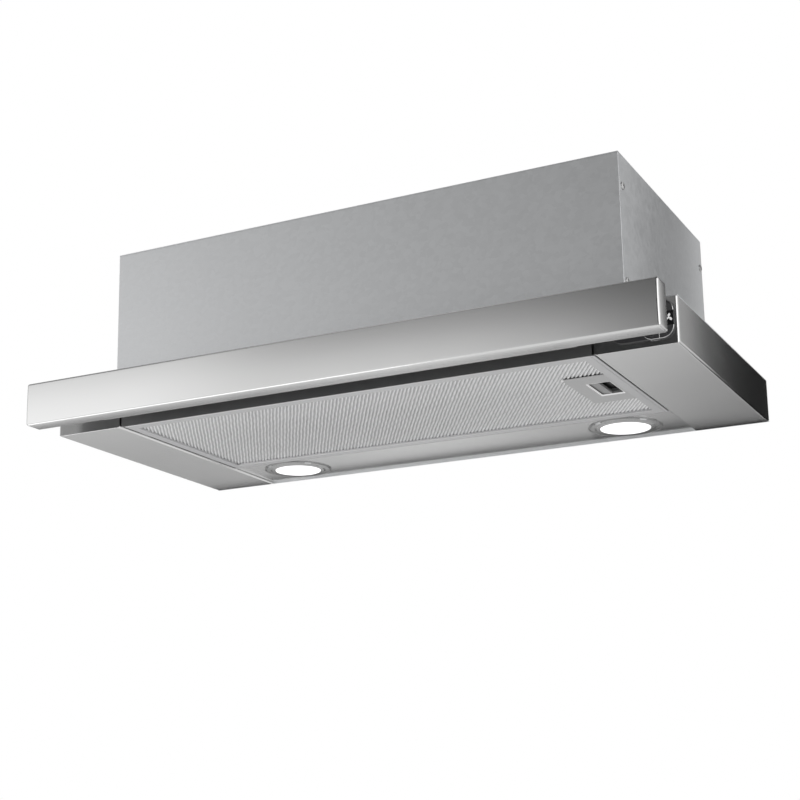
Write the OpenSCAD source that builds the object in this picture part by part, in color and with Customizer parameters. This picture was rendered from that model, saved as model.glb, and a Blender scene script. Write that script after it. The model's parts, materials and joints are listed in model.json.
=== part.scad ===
// Pull out range hood: a canopy under a wall cabinet, a drawer with a grease filter and a front bar,
// and a blower in a housing inside the cabinet.
// X runs to the right, Y to the wall and Z up. The origin is the centre of the four fixing holes, on the
// canopy's top face, which meets the underside of the cabinet.

/* [Canopy] */
// Width across the front
body_w = 598; // [580:1:640]
// Depth from the front face to the wall
body_d = 280; // [278:1:300]
// Height below the cabinet
body_h = 39.5; // [39:0.5:46]
// Thickness of the steel sheet
sheet = 1; // [0.8:0.1:1.2]
// Radius outside the folded edges
fold_r = 2; // [1.5:0.1:2.6]
// Width of each side box
side_w = 69.5; // [68:0.5:76]
// Depth of the lamp strip along the wall
strip_d = 81; // [76:1:90]
// Height of the lamp strip above the side boxes
strip_rise = 2; // [1.5:0.1:3]
// Distance by which the air way in the top reaches over each side box
air_lap = 1.5; // [0:0.1:4]
// Depth of the air way in the top
air_d = 205; // [180:1:210]

/* [Fixing holes] */
// Distance from the canopy's sides to the holes
fix_side = 29; // [22:1:44]
// Distance from the canopy's front and from the wall to the holes
fix_edge = 30; // [20:1:50]
// Radius of each hole
fix_r = 2.5; // [2:0.1:3.5]

/* [Front bar] */
// Height of the bar
bar_h = 39.5; // [39:0.5:46]
// Depth of the bar
bar_d = 18; // [15:0.5:24]
// Radius of the bar's long edges
bar_r = 1.6; // [1.4:0.1:2.5]
// Distance from the canopy's front face to the bar's front
bar_stand = 49.5; // [45:0.5:56]
// Height of the bar's foot below the canopy
bar_drop = 0.5; // [0:0.1:1]
// Depth of the folded edge that carries the bar
carrier_d = 3; // [2:0.1:4]

/* [Drawer] */
// Gap between the drawer and each side box
drawer_gap = 2; // [1.5:0.1:2.4]
// Room between the drawer and the canopy's top face
drawer_head = 5.2; // [5:0.1:6]
// Gap between the drawer and the lamp strip
drawer_back_gap = 1; // [0.8:0.1:2]

/* [Drawer slides] */
// Height of the fixed member
slide_h = 18; // [16:0.5:19]
// Width from the drawer's wall to the fixed member's back
slide_w = 12.3; // [11:0.1:13]
// Thickness of the members
slide_t = 1.2; // [1:0.1:1.4]
// Gap between one member and the next
slide_gap = 0.6; // [0.4:0.1:0.8]
// Length of the fixed member
slide_len = 230; // [220:1:240]
// Length by which each member is shorter than the one around it
slide_step = 19; // [10:1:22]
// Length by which the drawer's travel is shorter than the fixed member
slide_spare = 50; // [44:1:80]

/* [Grease filter] */
// Thickness of the cassette
filter_t = 8.5; // [8:0.5:10]
// Thickness of its aluminium sheet
filter_sheet = 0.8; // [0.6:0.1:1]
// Width of the frame at the left and right of the mesh
band_side = 8; // [7:0.5:12]
// Width of the frame in front of the mesh
band_front = 10.5; // [8:0.5:14]
// Width of the frame behind the mesh
band_back = 9; // [8:0.5:14]
// Distance between the ridges of the mesh
ridge_pitch = 3.5; // [3:0.1:6]
// Height of the ridges
ridge_h = 0.5; // [0.3:0.1:0.8]
// Clearance between the cassette and the drawer
filter_gap = 0.5; // [0.4:0.1:0.8]
// Clearance at the hinged end, which lets the cassette tilt
filter_hinge_gap = 1.7; // [1.7:0.1:2]

/* [Filter latch] */
// Width of the latch plate
latch_w = 37.7; // [37:0.1:50]
// Depth of the latch plate
latch_d = 83; // [70:1:100]
// Width of the finger recess
recess_w = 20.8; // [20:0.1:22]
// Depth of the finger recess
recess_d = 41; // [36:1:50]
// Width of the finger tab
tab_w = 9.5; // [8:0.1:11]
// Travel of the latch
latch_travel = 4; // [3:0.1:5]

/* [Lamps] */
// Distance from the side boxes to the lamps
lamp_side = 53.8; // [40:0.1:80]
// Distance of the lamps in front of the strip's middle
lamp_set = 1.2; // [0:0.1:3]
// Width of the strip in front of and behind the bezels
lamp_margin = 6.25; // [4:0.05:8]
// Width of the bezels round the lenses
bezel_w = 10.95; // [9:0.05:14]

/* [Controls] */
// Distance from the control plate to the canopy's right side
ctl_inset = 3.2; // [2.6:0.1:3.6]
// Distance from the plate to the side box's left edge
ctl_left = 15.3; // [14.5:0.1:16]
// Distance from the plate to the canopy's top face
ctl_head = 2.8; // [2:0.1:4]
// Distance from the plate to the canopy's underside
ctl_foot = 5; // [4:0.1:6]
// Height of the black window
win_h = 11.5; // [10:0.5:13]
// Width of the switch knobs
knob_w = 6; // [5:0.5:6.5]
// Travel of the lamp switch
lamp_travel = 5; // [3:0.5:5]
// Travel of the fan switch
fan_travel = 14; // [10:0.5:14]

/* [Upper housing] */
// Distance from the canopy's sides to the housing
hsg_side = 49; // [40:1:54]
// Width of the canopy's top between the housing's front or back and the air way
hsg_margin = 17.5; // [14:0.5:24]
// Height of the roof above the blower's tongue
hsg_roof = 6; // [6:0.5:40]

/* [Outlet] */
// Outer radius of the collar
collar_r = 59.5; // [58.5:0.5:62]
// Height of the collar above the housing
collar_h = 33; // [30:0.5:60]
// Thickness of the collar's wall
collar_t = 1.5; // [1.2:0.1:2]
// Radius of the damper pin
pin_r = 1.5; // [1.2:0.1:2]

/* [Blower] */
// Radius of the impeller
wheel_r = 55; // [50:0.5:56]
// Width of the impeller
wheel_w = 88; // [70:1:92]
// Number of blades
blades = 32; // [20:1:40]
// Gap between the impeller's ends and the scroll's sides
wheel_gap = 6; // [5:0.5:10]
// Gap between the impeller and the scroll at the tongue
tongue_gap = 3; // [3:0.5:4]
// Growth of that gap from the tongue to the outlet
scroll_grow = 20; // [16:0.5:21]
// Distance from the impeller's edge to each air inlet
inlet_lap = 9; // [9:0.5:15]
// Radius of the motor
motor_r = 30; // [26:0.5:32]
// Radius of the motor shaft
shaft_r = 4; // [3:0.1:5]

/* [Hidden] */
$fn = 64;

// Overrun of every cut past the face it leaves
over = 1;
// Clearance of a loose hole round a screw or a stem
loose = 0.3;
// Clearance between parts of one assembly that lie beside each other
seam = 0.3;
// Running clearance of a shaft or pin
running = 0.04;

half_w = body_w / 2;
front_y = -body_d / 2;
wall_y = body_d / 2;
under_z = -body_h;
fix_x = half_w - fix_side;
fix_y = wall_y - fix_edge;
box_in = half_w - side_w;
strip_y = wall_y - strip_d;
strip_z = under_z + strip_rise;
back_in = wall_y - sheet;

// Folded lips of the canopy
lip_h = 11.5;
top_lip_h = 3;
strip_lip_h = 7;

// Opening in each side box's front face for the slides
notch_w = 10.5;
notch_top = 7;
notch_h = 20;

// Housing and air way, set back from the middle
air_y = 2;
air_w = 2 * (box_in + air_lap);
hsg_w = body_w - 2 * hsg_side;
hsg_front = air_y - air_d / 2 - hsg_margin;
hsg_back = air_y + air_d / 2 + hsg_margin;
flange_w = 12;
flange_t = 1;
end_screw_shares = [0.2, 0.8];

// Drawer
drawer_x = box_in - drawer_gap;
drawer_in = drawer_x - sheet;
drawer_y1 = strip_y - drawer_back_gap;
drawer_z = -drawer_head;
drawer_in_front = front_y + sheet;
drawer_in_back = drawer_y1 - sheet;
drawer_roof = drawer_z - sheet;
drawer_cover = 4;
drawer_travel = slide_len - slide_spare;
drawer_ledge = 7;

// Bar and carrier
bar_z0 = under_z - bar_drop;
bar_z1 = bar_z0 + bar_h;
bar_y0 = front_y - bar_stand;
bar_y1 = bar_y0 + bar_d;
bar_cap = half_w - sheet;
carrier_side = 1.5;
carrier_x = drawer_x - carrier_side;
carrier_t = 1.5;
carrier_top = drawer_z - 1.3 * sheet;
carrier_foot = bar_z0 + bar_drop;
tongue_flange = 14;
bar_screw_shares = [-0.85, -0.3, 0.3, 0.85];
bar_screw_z = carrier_top - tongue_flange * 0.6;

// Slides
slide_z1 = -8;
slide_z0 = slide_z1 - slide_h;
slide_back = drawer_x + slide_w;
slide_lip = 3.7;
slide_set = 2;
slide_y0 = front_y + sheet + slide_set;
mid_len = slide_len - slide_step;
inner_len = mid_len - slide_step;
hanger_w = 8;

// Filter cassette
filter_x0 = -drawer_in + filter_hinge_gap;
filter_x1 = drawer_in - filter_gap;
filter_y0 = drawer_in_front + filter_gap;
filter_y1 = drawer_in_back - filter_gap;
filter_z0 = under_z;
filter_z1 = under_z + filter_t;
mesh_x0 = filter_x0 + band_side;
mesh_x1 = filter_x1 - band_side;
mesh_y0 = filter_y0 + band_front;
mesh_y1 = filter_y1 - band_back;
mesh_z = filter_z0 + filter_sheet;
mesh_t = 1.2;
mesh_tuck = 5;
// Tabs that hang the cassette's left end in the drawer's wall
tab_rise = 1.9;
hinge_z = under_z + tab_rise;
tab_t = 1.2;
tab_d = 14;
tab_reach = 1.4;
hinge_x = -(drawer_in + 0.1 * sheet);
tab_shares = [-0.62, 0.62];
tab_slot_up = 1.6;
tab_slot_down = 1.1;

// Latch in the cassette
latch_x1 = mesh_x1;
latch_x0 = latch_x1 - latch_w;
latch_y = (mesh_y0 + mesh_y1) / 2;
latch_z = filter_z0 + 0.6 * filter_sheet;
latch_top = latch_z + filter_sheet;
recess_edge = 3;
recess_x1 = latch_x1 - recess_edge;
recess_x0 = recess_x1 - recess_w;
case_d = 50;
case_t = 0.8;
case_edge = 0.5;
case_x1 = latch_x1 - case_edge;
spring_solid = 5.9;
case_x0 = recess_x0 - latch_travel - spring_solid - case_t;
slider_z0 = latch_top + seam;
slider_t = 2.4;
slider_z1 = slider_z0 + slider_t;
slider_rail = 2.6;
slider_bar = 1.4;
slider_x0 = recess_x0;
slider_x1 = case_x1 - case_t - seam;
bolt_d = 12;
bolt_tip = 1.3;
bolt_x1 = drawer_in + bolt_tip;
spring_r = 1.6;
spring_wire = 0.5;
spring_turns = 6;
spring_z = latch_top + spring_r + spring_wire + loose / 2;

// Lamps
lamp_x = box_in - lamp_side;
lamp_y = strip_y + strip_d / 2 - lamp_set;
bezel_r = strip_d / 2 - lamp_margin;
lens_r = bezel_r - bezel_w;
lens_t = 2.5;
bezel_flange = 0.8;
bezel_lip = 5.65;
barrel_t = 1.8;
barrel_r = bezel_r - bezel_lip;
barrel_in = barrel_r - barrel_t;
barrel_h = 6.5;
lamp_h = 16;
fin_t = 1.6;
clip_w = 8;
clip_t = 0.6;
clip_reach = 5;

// Controls
ctl_x1 = half_w - ctl_inset;
ctl_x0 = box_in + ctl_left;
ctl_top = -ctl_head;
ctl_bottom = under_z + ctl_foot;
ctl_r = 9.5;
ctl_t = 2;
lobe_rise = 0.5;
lobe_drop = 0.4;
pad_w = 13.2;
win_share = 0.506;
win_left = 2.5;
win_t = 2.2;
win_x0 = ctl_x0 + win_left;
knob_z = ctl_top - win_share * (ctl_top - ctl_bottom);
win_top = knob_z + win_h / 2;
knob_h = 8;
knob_t = 4.5;
knob_gap = 0.4;
stem_w = 3;
stem_len = 8;
knob_edge = 4.3;
knob_pitch = 12.5;
switch_edge = 4;
light_x = win_x0 + knob_edge;
fan_x = light_x + knob_pitch;
switch_x0 = light_x - switch_edge;
switch_x1 = fan_x + fan_travel + switch_edge;
switch_h = 15;
switch_d = 18;

// Blower
blower_set = 22;
blower_y = air_y - blower_set;
blower_floor = 1.8;
scroll_t = 1.2;
scroll_w = wheel_w + 2 * wheel_gap;
tongue_r = wheel_r + tongue_gap;
scroll_r = tongue_r + scroll_grow;
inlet_r = wheel_r - inlet_lap;
full_turn = 360;
tongue_a = 60;
scroll_step = 10;
blower_z = blower_floor + scroll_t + scroll_radius(270);
hsg_h = blower_z + tongue_r + hsg_roof;
hsg_in = hsg_h - sheet;
throat_y0 = blower_y + tongue_r * cos(tongue_a);
throat_y1 = blower_y + scroll_r;
collar_y = (throat_y0 + throat_y1) / 2;
blade_d = 10;
blade_t = 1;
blade_lean = 25;
hub_r = 9;
hub_len = 14;
hub_t = 2;
wheel_ring = 3;
bearing_r = 8;
bearing_w = 6;
motor_x0 = 6;
motor_tail = 5.3;
motor_lead = 2;
motor_bore_gap = 1;
mount_r = 4;
mount_len = 4;
mount_gap = 5;
mount_at = inlet_r + mount_gap;
bracket_x = scroll_w / 2 + scroll_t + mount_len;
bracket_t = 1.5;
bracket_ring = 5;
bracket_arm = 8;
motor_x1 = bracket_x + bracket_t + motor_tail;
motor_inner_x1 = motor_x1 - motor_lead;

// Outlet
collar_in = collar_r - collar_t;
rim_w = 6.5;
rim_t = 2;
stop_t = 1.5;
stop_w = 4;
flap_edge = 1;
flap_r = collar_in - flap_edge;
flap_t = 1.6;
knuckle_r = 3;
flap_gap = 0.6;
boss_d = 5;
flap_z = hsg_h + stop_t + seam + flap_t / 2;

// Electrics
terminal_w = 70;
terminal_d = 50;
terminal_h = 34;
terminal_side = 18;
terminal_x0 = -hsg_w / 2 + terminal_side;
terminal_z0 = 58;
cap_r = 16;
cap_h = 58;
cap_gap = 3;
cap_x0 = terminal_x0 + terminal_w + cap_gap;
driver_side = 7;
driver_gap = 4.2;
driver_d = 90;
driver_h = 20;
driver_y = 30;
gland_side = 36;
gland_back = 30;
gland_x = terminal_x0 + gland_side;
gland_y = hsg_back - gland_back;
gland_r = 7;
gland_bore = 4;
gland_flange = 11;
gland_h = 10;

// Screws
screw_r = 1.75;
head_r = 3.4;
head_t = 1.8;
screw_len = 7;
rim_head_t = 1.1;
rim_tip = 1.4;

// A box between two corners
module span(lo, hi) {
    translate(lo) cube(hi - lo);
}

// A flat outline, made as thick as the two limits say, along X, Y or Z
module along_x(x0, x1) {
    translate([x0, 0, 0]) rotate([90, 0, 90]) linear_extrude(x1 - x0) children();
}

module along_y(y0, y1) {
    translate([0, y1, 0]) rotate([90, 0, 0]) linear_extrude(y1 - y0) children();
}

module along_z(z0, z1) {
    translate([0, 0, z0]) linear_extrude(z1 - z0) children();
}

// Round bars along X, Y or Z
module rod_x(y, z, r, x0, x1) {
    translate([x0, y, z]) rotate([0, 90, 0]) cylinder(r = r, h = x1 - x0);
}

module rod_y(x, z, r, y0, y1) {
    translate([x, y1, z]) rotate([90, 0, 0]) cylinder(r = r, h = y1 - y0);
}

module rod_z(x, y, r, z0, z1) {
    translate([x, y, z0]) cylinder(r = r, h = z1 - z0);
}

// A flat rectangle between two corners, plain or with round corners
module patch(lo, hi) {
    translate(lo) square(hi - lo);
}

module round_patch(lo, hi, r) {
    patch([lo[0], lo[1] + r], [hi[0], hi[1] - r]);
    patch([lo[0] + r, lo[1]], [hi[0] - r, hi[1]]);
    for (x = [lo[0] + r, hi[0] - r])
        for (y = [lo[1] + r, hi[1] - r])
            translate([x, y]) circle(r);
}

// The same shape at the right and at the left
module both_sides() {
    children();
    mirror([1, 0, 0]) children();
}

module fixing_places() {
    for (x = [-fix_x, fix_x])
        for (y = [-fix_y, fix_y])
            translate([x, y, 0]) children();
}

module canopy_top() {
    color("silver")
    difference() {
        union() {
            span([-half_w, front_y, -sheet], [half_w, wall_y, 0]);
            span([-half_w, back_in, under_z], [half_w, wall_y, 0]);
            span([-box_in, front_y, -sheet - top_lip_h], [box_in, front_y + sheet, 0]);
        }
        span([-air_w / 2, air_y - air_d / 2, -sheet - over], [air_w / 2, air_y + air_d / 2, over]);
        fixing_places() rod_z(0, 0, fix_r, -sheet - over, over);
    }
}

// Side boxes are drawn at the right, from one folded sheet
module side_box_section() {
    difference() {
        round_patch([box_in, under_z], [half_w, body_h], fold_r);
        round_patch([box_in + sheet, under_z + sheet], [half_w - sheet, body_h], fold_r - sheet);
        patch([box_in - over, -sheet], [half_w + over, body_h + over]);
        patch([box_in - over, under_z + lip_h], [box_in + fold_r, 0]);
    }
}

module side_box_face() {
    difference() {
        round_patch([box_in, under_z], [half_w, body_h], fold_r);
        patch([box_in - over, -sheet], [half_w + over, body_h + over]);
        patch([box_in - over, -notch_top - notch_h], [box_in + notch_w, -notch_top]);
    }
}

module side_box() {
    intersection() {
        union() {
            along_y(front_y, back_in) side_box_section();
            along_y(front_y, front_y + sheet) side_box_face();
        }
        along_z(under_z - over, over)
            difference() {
                round_patch([box_in - body_d, front_y], [half_w, body_d], fold_r);
                patch([box_in - body_d - over, wall_y], [half_w + over, body_d + over]);
            }
    }
}

module side_box_left() {
    color("silver") mirror([1, 0, 0]) side_box();
}

module side_box_right() {
    color("silver")
    difference() {
        side_box();
        span([switch_x0, front_y - over, knob_z - stem_w / 2 - loose],
            [switch_x1, front_y + sheet + over, knob_z + stem_w / 2 + loose]);
        control_screw_places() rod_y(0, 0, screw_r + running, front_y - over, front_y + sheet + over);
    }
}

module lamp_strip() {
    color("silver")
    difference() {
        union() {
            span([-box_in + seam, strip_y, strip_z], [box_in - seam, back_in, strip_z + sheet]);
            for (y = [strip_y, back_in - sheet])
                span([-box_in + seam, y, strip_z], [box_in - seam, y + sheet, strip_z + strip_lip_h]);
        }
        both_sides() rod_z(lamp_x, lamp_y, barrel_r + loose, strip_z - over, strip_z + sheet + over);
    }
}

// Upper housing: flat panels that stand on the canopy's top
module housing_front() {
    color("gainsboro") span([-hsg_w / 2, hsg_front, 0], [hsg_w / 2, hsg_front + sheet, hsg_in]);
}

module housing_back() {
    color("gainsboro") span([-hsg_w / 2, hsg_back - sheet, 0], [hsg_w / 2, hsg_back, hsg_in]);
}

module housing_end() {
    difference() {
        span([hsg_w / 2 - sheet, hsg_front + sheet, 0], [hsg_w / 2, hsg_back - sheet, hsg_in]);
        end_screw_places() rod_x(0, 0, screw_r + running, hsg_w / 2 - sheet - over, hsg_w / 2 + over);
    }
    // Flanges that the end screws pass through
    for (y = [hsg_front + sheet, hsg_back - sheet - flange_w])
        difference() {
            span([hsg_w / 2 - sheet - flange_t, y, 0], [hsg_w / 2 - sheet, y + flange_w, hsg_in]);
            end_screw_places() rod_x(0, 0, screw_r + running, hsg_w / 2 - sheet - flange_t - over,
                hsg_w / 2 + over);
        }
}

module end_screw_places() {
    for (share = end_screw_shares)
        for (y = [hsg_front + sheet + flange_w / 2, hsg_back - sheet - flange_w / 2])
            translate([0, y, hsg_in * share]) children();
}

module housing_end_left() {
    color("gainsboro") mirror([1, 0, 0]) housing_end();
}

module housing_end_right() {
    color("gainsboro") housing_end();
}

module housing_top() {
    color("gainsboro")
    difference() {
        span([-hsg_w / 2, hsg_front, hsg_in], [hsg_w / 2, hsg_back, hsg_h]);
        rod_z(0, collar_y, collar_in - stop_w, hsg_in - over, hsg_h + over);
        rod_z(gland_x, gland_y, gland_r + running, hsg_in - over, hsg_h + over);
        rim_screw_places() rod_z(0, 0, screw_r + running, hsg_in - over, hsg_h + over);
    }
}

module rim_screw_places() {
    for (a = [45 : 90 : 315])
        translate([0, collar_y, 0]) rotate([0, 0, a]) translate([collar_r + rim_w / 2, 0, 0]) children();
}

// Upper filter, snapped into the air way from below
module upper_filter_frame() {
    color("lightgray")
    difference() {
        union() {
            span([-air_w / 2 - 2 * sheet, air_y - air_d / 2 - 2 * sheet, -2 * sheet],
                [air_w / 2 + 2 * sheet, air_y + air_d / 2 + 2 * sheet, -sheet]);
            span([-air_w / 2 + seam, air_y - air_d / 2 + seam, -2 * sheet],
                [air_w / 2 - seam, air_y + air_d / 2 - seam, filter_t - 2 * sheet]);
        }
        span([-air_w / 2 + band_side, air_y - air_d / 2 + band_side, -2 * sheet - over],
            [air_w / 2 - band_side, air_y + air_d / 2 - band_side, filter_t]);
    }
}

module upper_filter_mesh() {
    color("darkgray")
    translate([0, 0, -sheet])
        ridged_sheet(-air_w / 2 + band_side, air_w / 2 - band_side,
            air_y - air_d / 2 + band_side, air_y + air_d / 2 - band_side, 2 * ridge_pitch);
}

// A sheet with ridges from front to back, its foot at z = 0
module ridged_sheet(x0, x1, y0, y1, pitch) {
    count = max(2, round((x1 - x0) / pitch));
    step = (x1 - x0) / count;
    foot = [for (i = [0 : 2 * count]) [x0 + i * step / 2, i % 2 == 0 ? 0 : ridge_h]];
    head = [for (i = [2 * count : -1 : 0]) foot[i] + [0, mesh_t]];
    along_y(y0, y1) polygon(concat(foot, head));
}

// Outlet collar with a stop rim and two bosses for the damper pin
module outlet_collar() {
    color("dimgray")
    translate([0, collar_y, 0])
    difference() {
        union() {
            rod_z(0, 0, collar_r + rim_w, hsg_h, hsg_h + rim_t);
            rod_z(0, 0, collar_r, hsg_h, hsg_h + collar_h);
        }
        rod_z(0, 0, collar_in - stop_w, hsg_h - over, hsg_h + collar_h);
        difference() {
            rod_z(0, 0, collar_in, hsg_h + stop_t, hsg_h + collar_h + over);
            both_bosses()
                span([-knuckle_r, collar_in - boss_d, hsg_h], [knuckle_r, collar_r, flap_z + knuckle_r]);
        }
        rod_y(0, flap_z, pin_r + running, -collar_in, collar_in);
        translate([0, -collar_y, 0]) rim_screw_places() {
            rod_z(0, 0, screw_r + running, hsg_h - over, hsg_h + rim_t + over);
            rod_z(0, 0, head_r * 0.9 + running, hsg_h + rim_t - rim_head_t, hsg_h + rim_t + over);
        }
    }
}

module both_bosses() {
    children();
    mirror([0, 1, 0]) children();
}

module damper_pin() {
    color("silver")
    translate([0, collar_y, 0]) rod_y(0, flap_z, pin_r, -collar_in + running, collar_in - running);
}

// A half disc with two knuckles on the pin, drawn at the right
module damper_flap(start) {
    reach = collar_in - boss_d - seam;
    part = reach / 2;
    difference() {
        union() {
            intersection() {
                rod_z(0, 0, flap_r, flap_z - flap_t / 2, flap_z + flap_t / 2);
                span([knuckle_r + flap_gap, -reach, 0], [collar_r, reach, flap_z + collar_r]);
            }
            for (i = [start, start + 2]) {
                rod_y(0, flap_z, knuckle_r, -reach + i * part + seam / 2, -reach + (i + 1) * part - seam / 2);
                span([0, -reach + i * part + seam / 2, flap_z - flap_t / 2],
                    [knuckle_r + 2 * flap_gap, -reach + (i + 1) * part - seam / 2, flap_z + flap_t / 2]);
            }
        }
        rod_y(0, flap_z, pin_r + running, -collar_r, collar_r);
    }
}

module damper_flap_left() {
    color("gray") translate([0, collar_y, 0]) mirror([1, 0, 0]) damper_flap(0);
}

module damper_flap_right() {
    color("gray") translate([0, collar_y, 0]) damper_flap(1);
}

// Scroll: the radius grows evenly from the tongue, over the top and the front, to the outlet
function scroll_radius(a) = tongue_r + (scroll_r - tongue_r) * (a - tongue_a) / (full_turn - tongue_a);
function scroll_point(a, extra) = [blower_y, blower_z] + (scroll_radius(a) + extra) * [cos(a), sin(a)];
wedge_y = throat_y0 - scroll_t;
wedge_z = blower_z + sqrt(pow(tongue_r + scroll_t, 2) - pow(wedge_y - blower_y, 2));
scroll_inner = [for (a = [tongue_a : scroll_step : full_turn]) scroll_point(a, 0)];
scroll_outer = [for (a = [tongue_a + scroll_step : scroll_step : full_turn]) scroll_point(a, scroll_t)];

module scroll_outline() {
    polygon(concat([[throat_y0 - scroll_t, hsg_in], [wedge_y, wedge_z]], scroll_outer,
        [[throat_y1 + scroll_t, hsg_in]]));
}

module scroll_hollow() {
    polygon(concat([[throat_y0, hsg_in + over]], scroll_inner, [[throat_y1, hsg_in + over]]));
}

module scroll_wall() {
    color("silver")
    along_x(-scroll_w / 2, scroll_w / 2)
        difference() {
            scroll_outline();
            scroll_hollow();
        }
}

module scroll_side() {
    along_x(scroll_w / 2, scroll_w / 2 + scroll_t)
        difference() {
            scroll_outline();
            translate([blower_y, blower_z]) circle(inlet_r);
        }
}

module scroll_side_left() {
    color("silver") mirror([1, 0, 0]) scroll_side();
}

module scroll_side_right() {
    color("silver") scroll_side();
}

// Impeller with two rows of blades on one hub disc
module impeller() {
    color("dimgray")
    translate([0, blower_y, blower_z])
    difference() {
        union() {
            along_x(-wheel_w / 2, wheel_w / 2)
                for (i = [0 : blades - 1])
                    rotate(i * full_turn / blades)
                        translate([wheel_r - blade_d, 0]) rotate(blade_lean) square([blade_d, blade_t]);
            rod_x(0, 0, wheel_r, -hub_t / 2, hub_t / 2);
            rod_x(0, 0, hub_r, -hub_len / 2 - hub_t, hub_len / 2 - 2 * hub_t);
            for (x = [-wheel_w / 2, wheel_w / 2 - hub_t])
                along_x(x, x + hub_t)
                    difference() {
                        circle(wheel_r);
                        circle(wheel_r - wheel_ring);
                    }
        }
        rod_x(0, 0, shaft_r, -wheel_w / 2, wheel_w / 2);
    }
}

module motor_shaft() {
    color("silver")
    translate([0, blower_y, blower_z])
        rod_x(0, 0, shaft_r, -hub_len - hub_t, motor_inner_x1 - running);
}

// Motor, inside the impeller's right half
module motor_body() {
    color("gray")
    translate([0, blower_y, blower_z])
    difference() {
        rod_x(0, 0, motor_r, motor_x0, motor_x1);
        rod_x(0, 0, shaft_r + motor_bore_gap, motor_x0 - over, motor_inner_x1);
        rod_x(0, 0, bearing_r, motor_x0 - over, motor_x0 + bearing_w);
        rod_x(0, 0, bearing_r, motor_inner_x1 - bearing_w, motor_inner_x1);
    }
}

module motor_bearings() {
    color("lightgray")
    translate([0, blower_y, blower_z])
        for (x = [motor_x0, motor_inner_x1 - bearing_w])
            difference() {
                rod_x(0, 0, bearing_r, x, x + bearing_w);
                rod_x(0, 0, shaft_r + running, x - over, x + bearing_w + over);
            }
}

module motor_bracket() {
    x1 = bracket_x + bracket_t;
    color("silver")
    translate([0, blower_y, blower_z])
    difference() {
        union() {
            rod_x(0, 0, motor_r + bracket_ring, bracket_x, x1);
            for (a = [90 : 120 : 330])
                rotate([a, 0, 0])
                    span([bracket_x, 0, -bracket_arm / 2], [x1, mount_at + mount_r, bracket_arm / 2]);
        }
        rod_x(0, 0, motor_r, bracket_x - over, x1 + over);
    }
}

module motor_mounts() {
    color("black")
    translate([0, blower_y, blower_z])
        for (a = [90 : 120 : 330])
            rotate([a, 0, 0]) rod_x(mount_at, 0, mount_r, bracket_x - mount_len, bracket_x);
}

// Drawer slides, drawn at the right as sections that run from front to back
module channel(x0, x1, z0, z1) {
    difference() {
        patch([x0, z0], [x1, z1]);
        patch([x0 - over, z0 + slide_t], [x1 - slide_t, z1 - slide_t]);
    }
}

module slide_outer() {
    along_y(slide_y0, slide_y0 + slide_len) {
        channel(drawer_x + slide_lip, slide_back + slide_t, slide_z0, slide_z1);
        patch([slide_back, slide_z1 - slide_t], [slide_back + slide_t, -sheet]);
        patch([slide_back, -sheet - slide_t], [slide_back + hanger_w, -sheet]);
    }
}

module slide_mid() {
    inset = slide_t + slide_gap;
    along_y(slide_y0, slide_y0 + mid_len)
        channel(drawer_x + slide_lip, slide_back - slide_gap, slide_z0 + inset, slide_z1 - inset);
}

module slide_inner() {
    inset = 2 * (slide_t + slide_gap);
    z0 = slide_z0 + inset;
    z1 = slide_z1 - inset;
    along_y(slide_y0, slide_y0 + inner_len) {
        patch([drawer_x, z0], [drawer_x + slide_t, z1]);
        for (z = [z0, z1 - slide_t])
            patch([drawer_x, z], [slide_back - 2 * slide_gap - slide_t, z + slide_t]);
    }
}

module slide_outer_left() {
    color("lightgray") mirror([1, 0, 0]) slide_outer();
}

module slide_outer_right() {
    color("lightgray") slide_outer();
}

module slide_mid_left() {
    color("darkgray") mirror([1, 0, 0]) slide_mid();
}

module slide_mid_right() {
    color("darkgray") slide_mid();
}

module slide_inner_left() {
    color("lightgray") mirror([1, 0, 0]) slide_inner();
}

module slide_inner_right() {
    color("lightgray") slide_inner();
}

// Drawer: front, two sides, back and top
module drawer_front() {
    color("gray")
    difference() {
        span([-drawer_x, front_y, under_z], [drawer_x, drawer_in_front, drawer_z]);
        bar_screw_places() rod_y(0, 0, screw_r + running, front_y - over, drawer_in_front + over);
    }
}

module drawer_side() {
    span([drawer_in, drawer_in_front, under_z], [drawer_x, drawer_y1, drawer_z]);
}

module drawer_side_left() {
    color("gray")
    difference() {
        mirror([1, 0, 0]) drawer_side();
        filter_tab_places()
            span([-drawer_x - over, -tab_d / 2 - loose, hinge_z - tab_slot_down],
                [-drawer_in + over, tab_d / 2 + loose, hinge_z + tab_slot_up]);
    }
}

module drawer_side_right() {
    color("gray")
    difference() {
        drawer_side();
        span([drawer_in - over, latch_y - bolt_d / 2 - loose, under_z - over],
            [drawer_x + over, latch_y + bolt_d / 2 + loose, slider_z1 + loose]);
    }
}

module drawer_back() {
    color("gray") {
        span([-drawer_in, drawer_in_back, under_z], [drawer_in, drawer_y1, filter_z1 + seam + sheet]);
        span([-drawer_in, drawer_in_back - drawer_ledge, filter_z1 + seam],
            [drawer_in, drawer_y1, filter_z1 + seam + sheet]);
    }
}

module drawer_top() {
    color("gray")
    span([-drawer_in, drawer_in_front, drawer_roof],
        [drawer_in, drawer_in_front + drawer_travel + drawer_cover, drawer_z]);
}

// Front bar: a folded shell that is open to the back, with a cap at each end
module bar_outline() {
    difference() {
        round_patch([bar_y0, bar_z0], [bar_y1 + bar_d, bar_z1], bar_r);
        patch([bar_y1, bar_z0 - over], [bar_y1 + bar_d + over, bar_z1 + over]);
    }
}

module bar_shell() {
    color("silver")
    along_x(-bar_cap, bar_cap)
        difference() {
            bar_outline();
            round_patch([bar_y0 + sheet, bar_z0 + sheet], [bar_y1 + bar_d, bar_z1 - sheet], bar_r - sheet);
        }
}

module bar_end_left() {
    color("silver") along_x(-half_w, -bar_cap) bar_outline();
}

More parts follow.
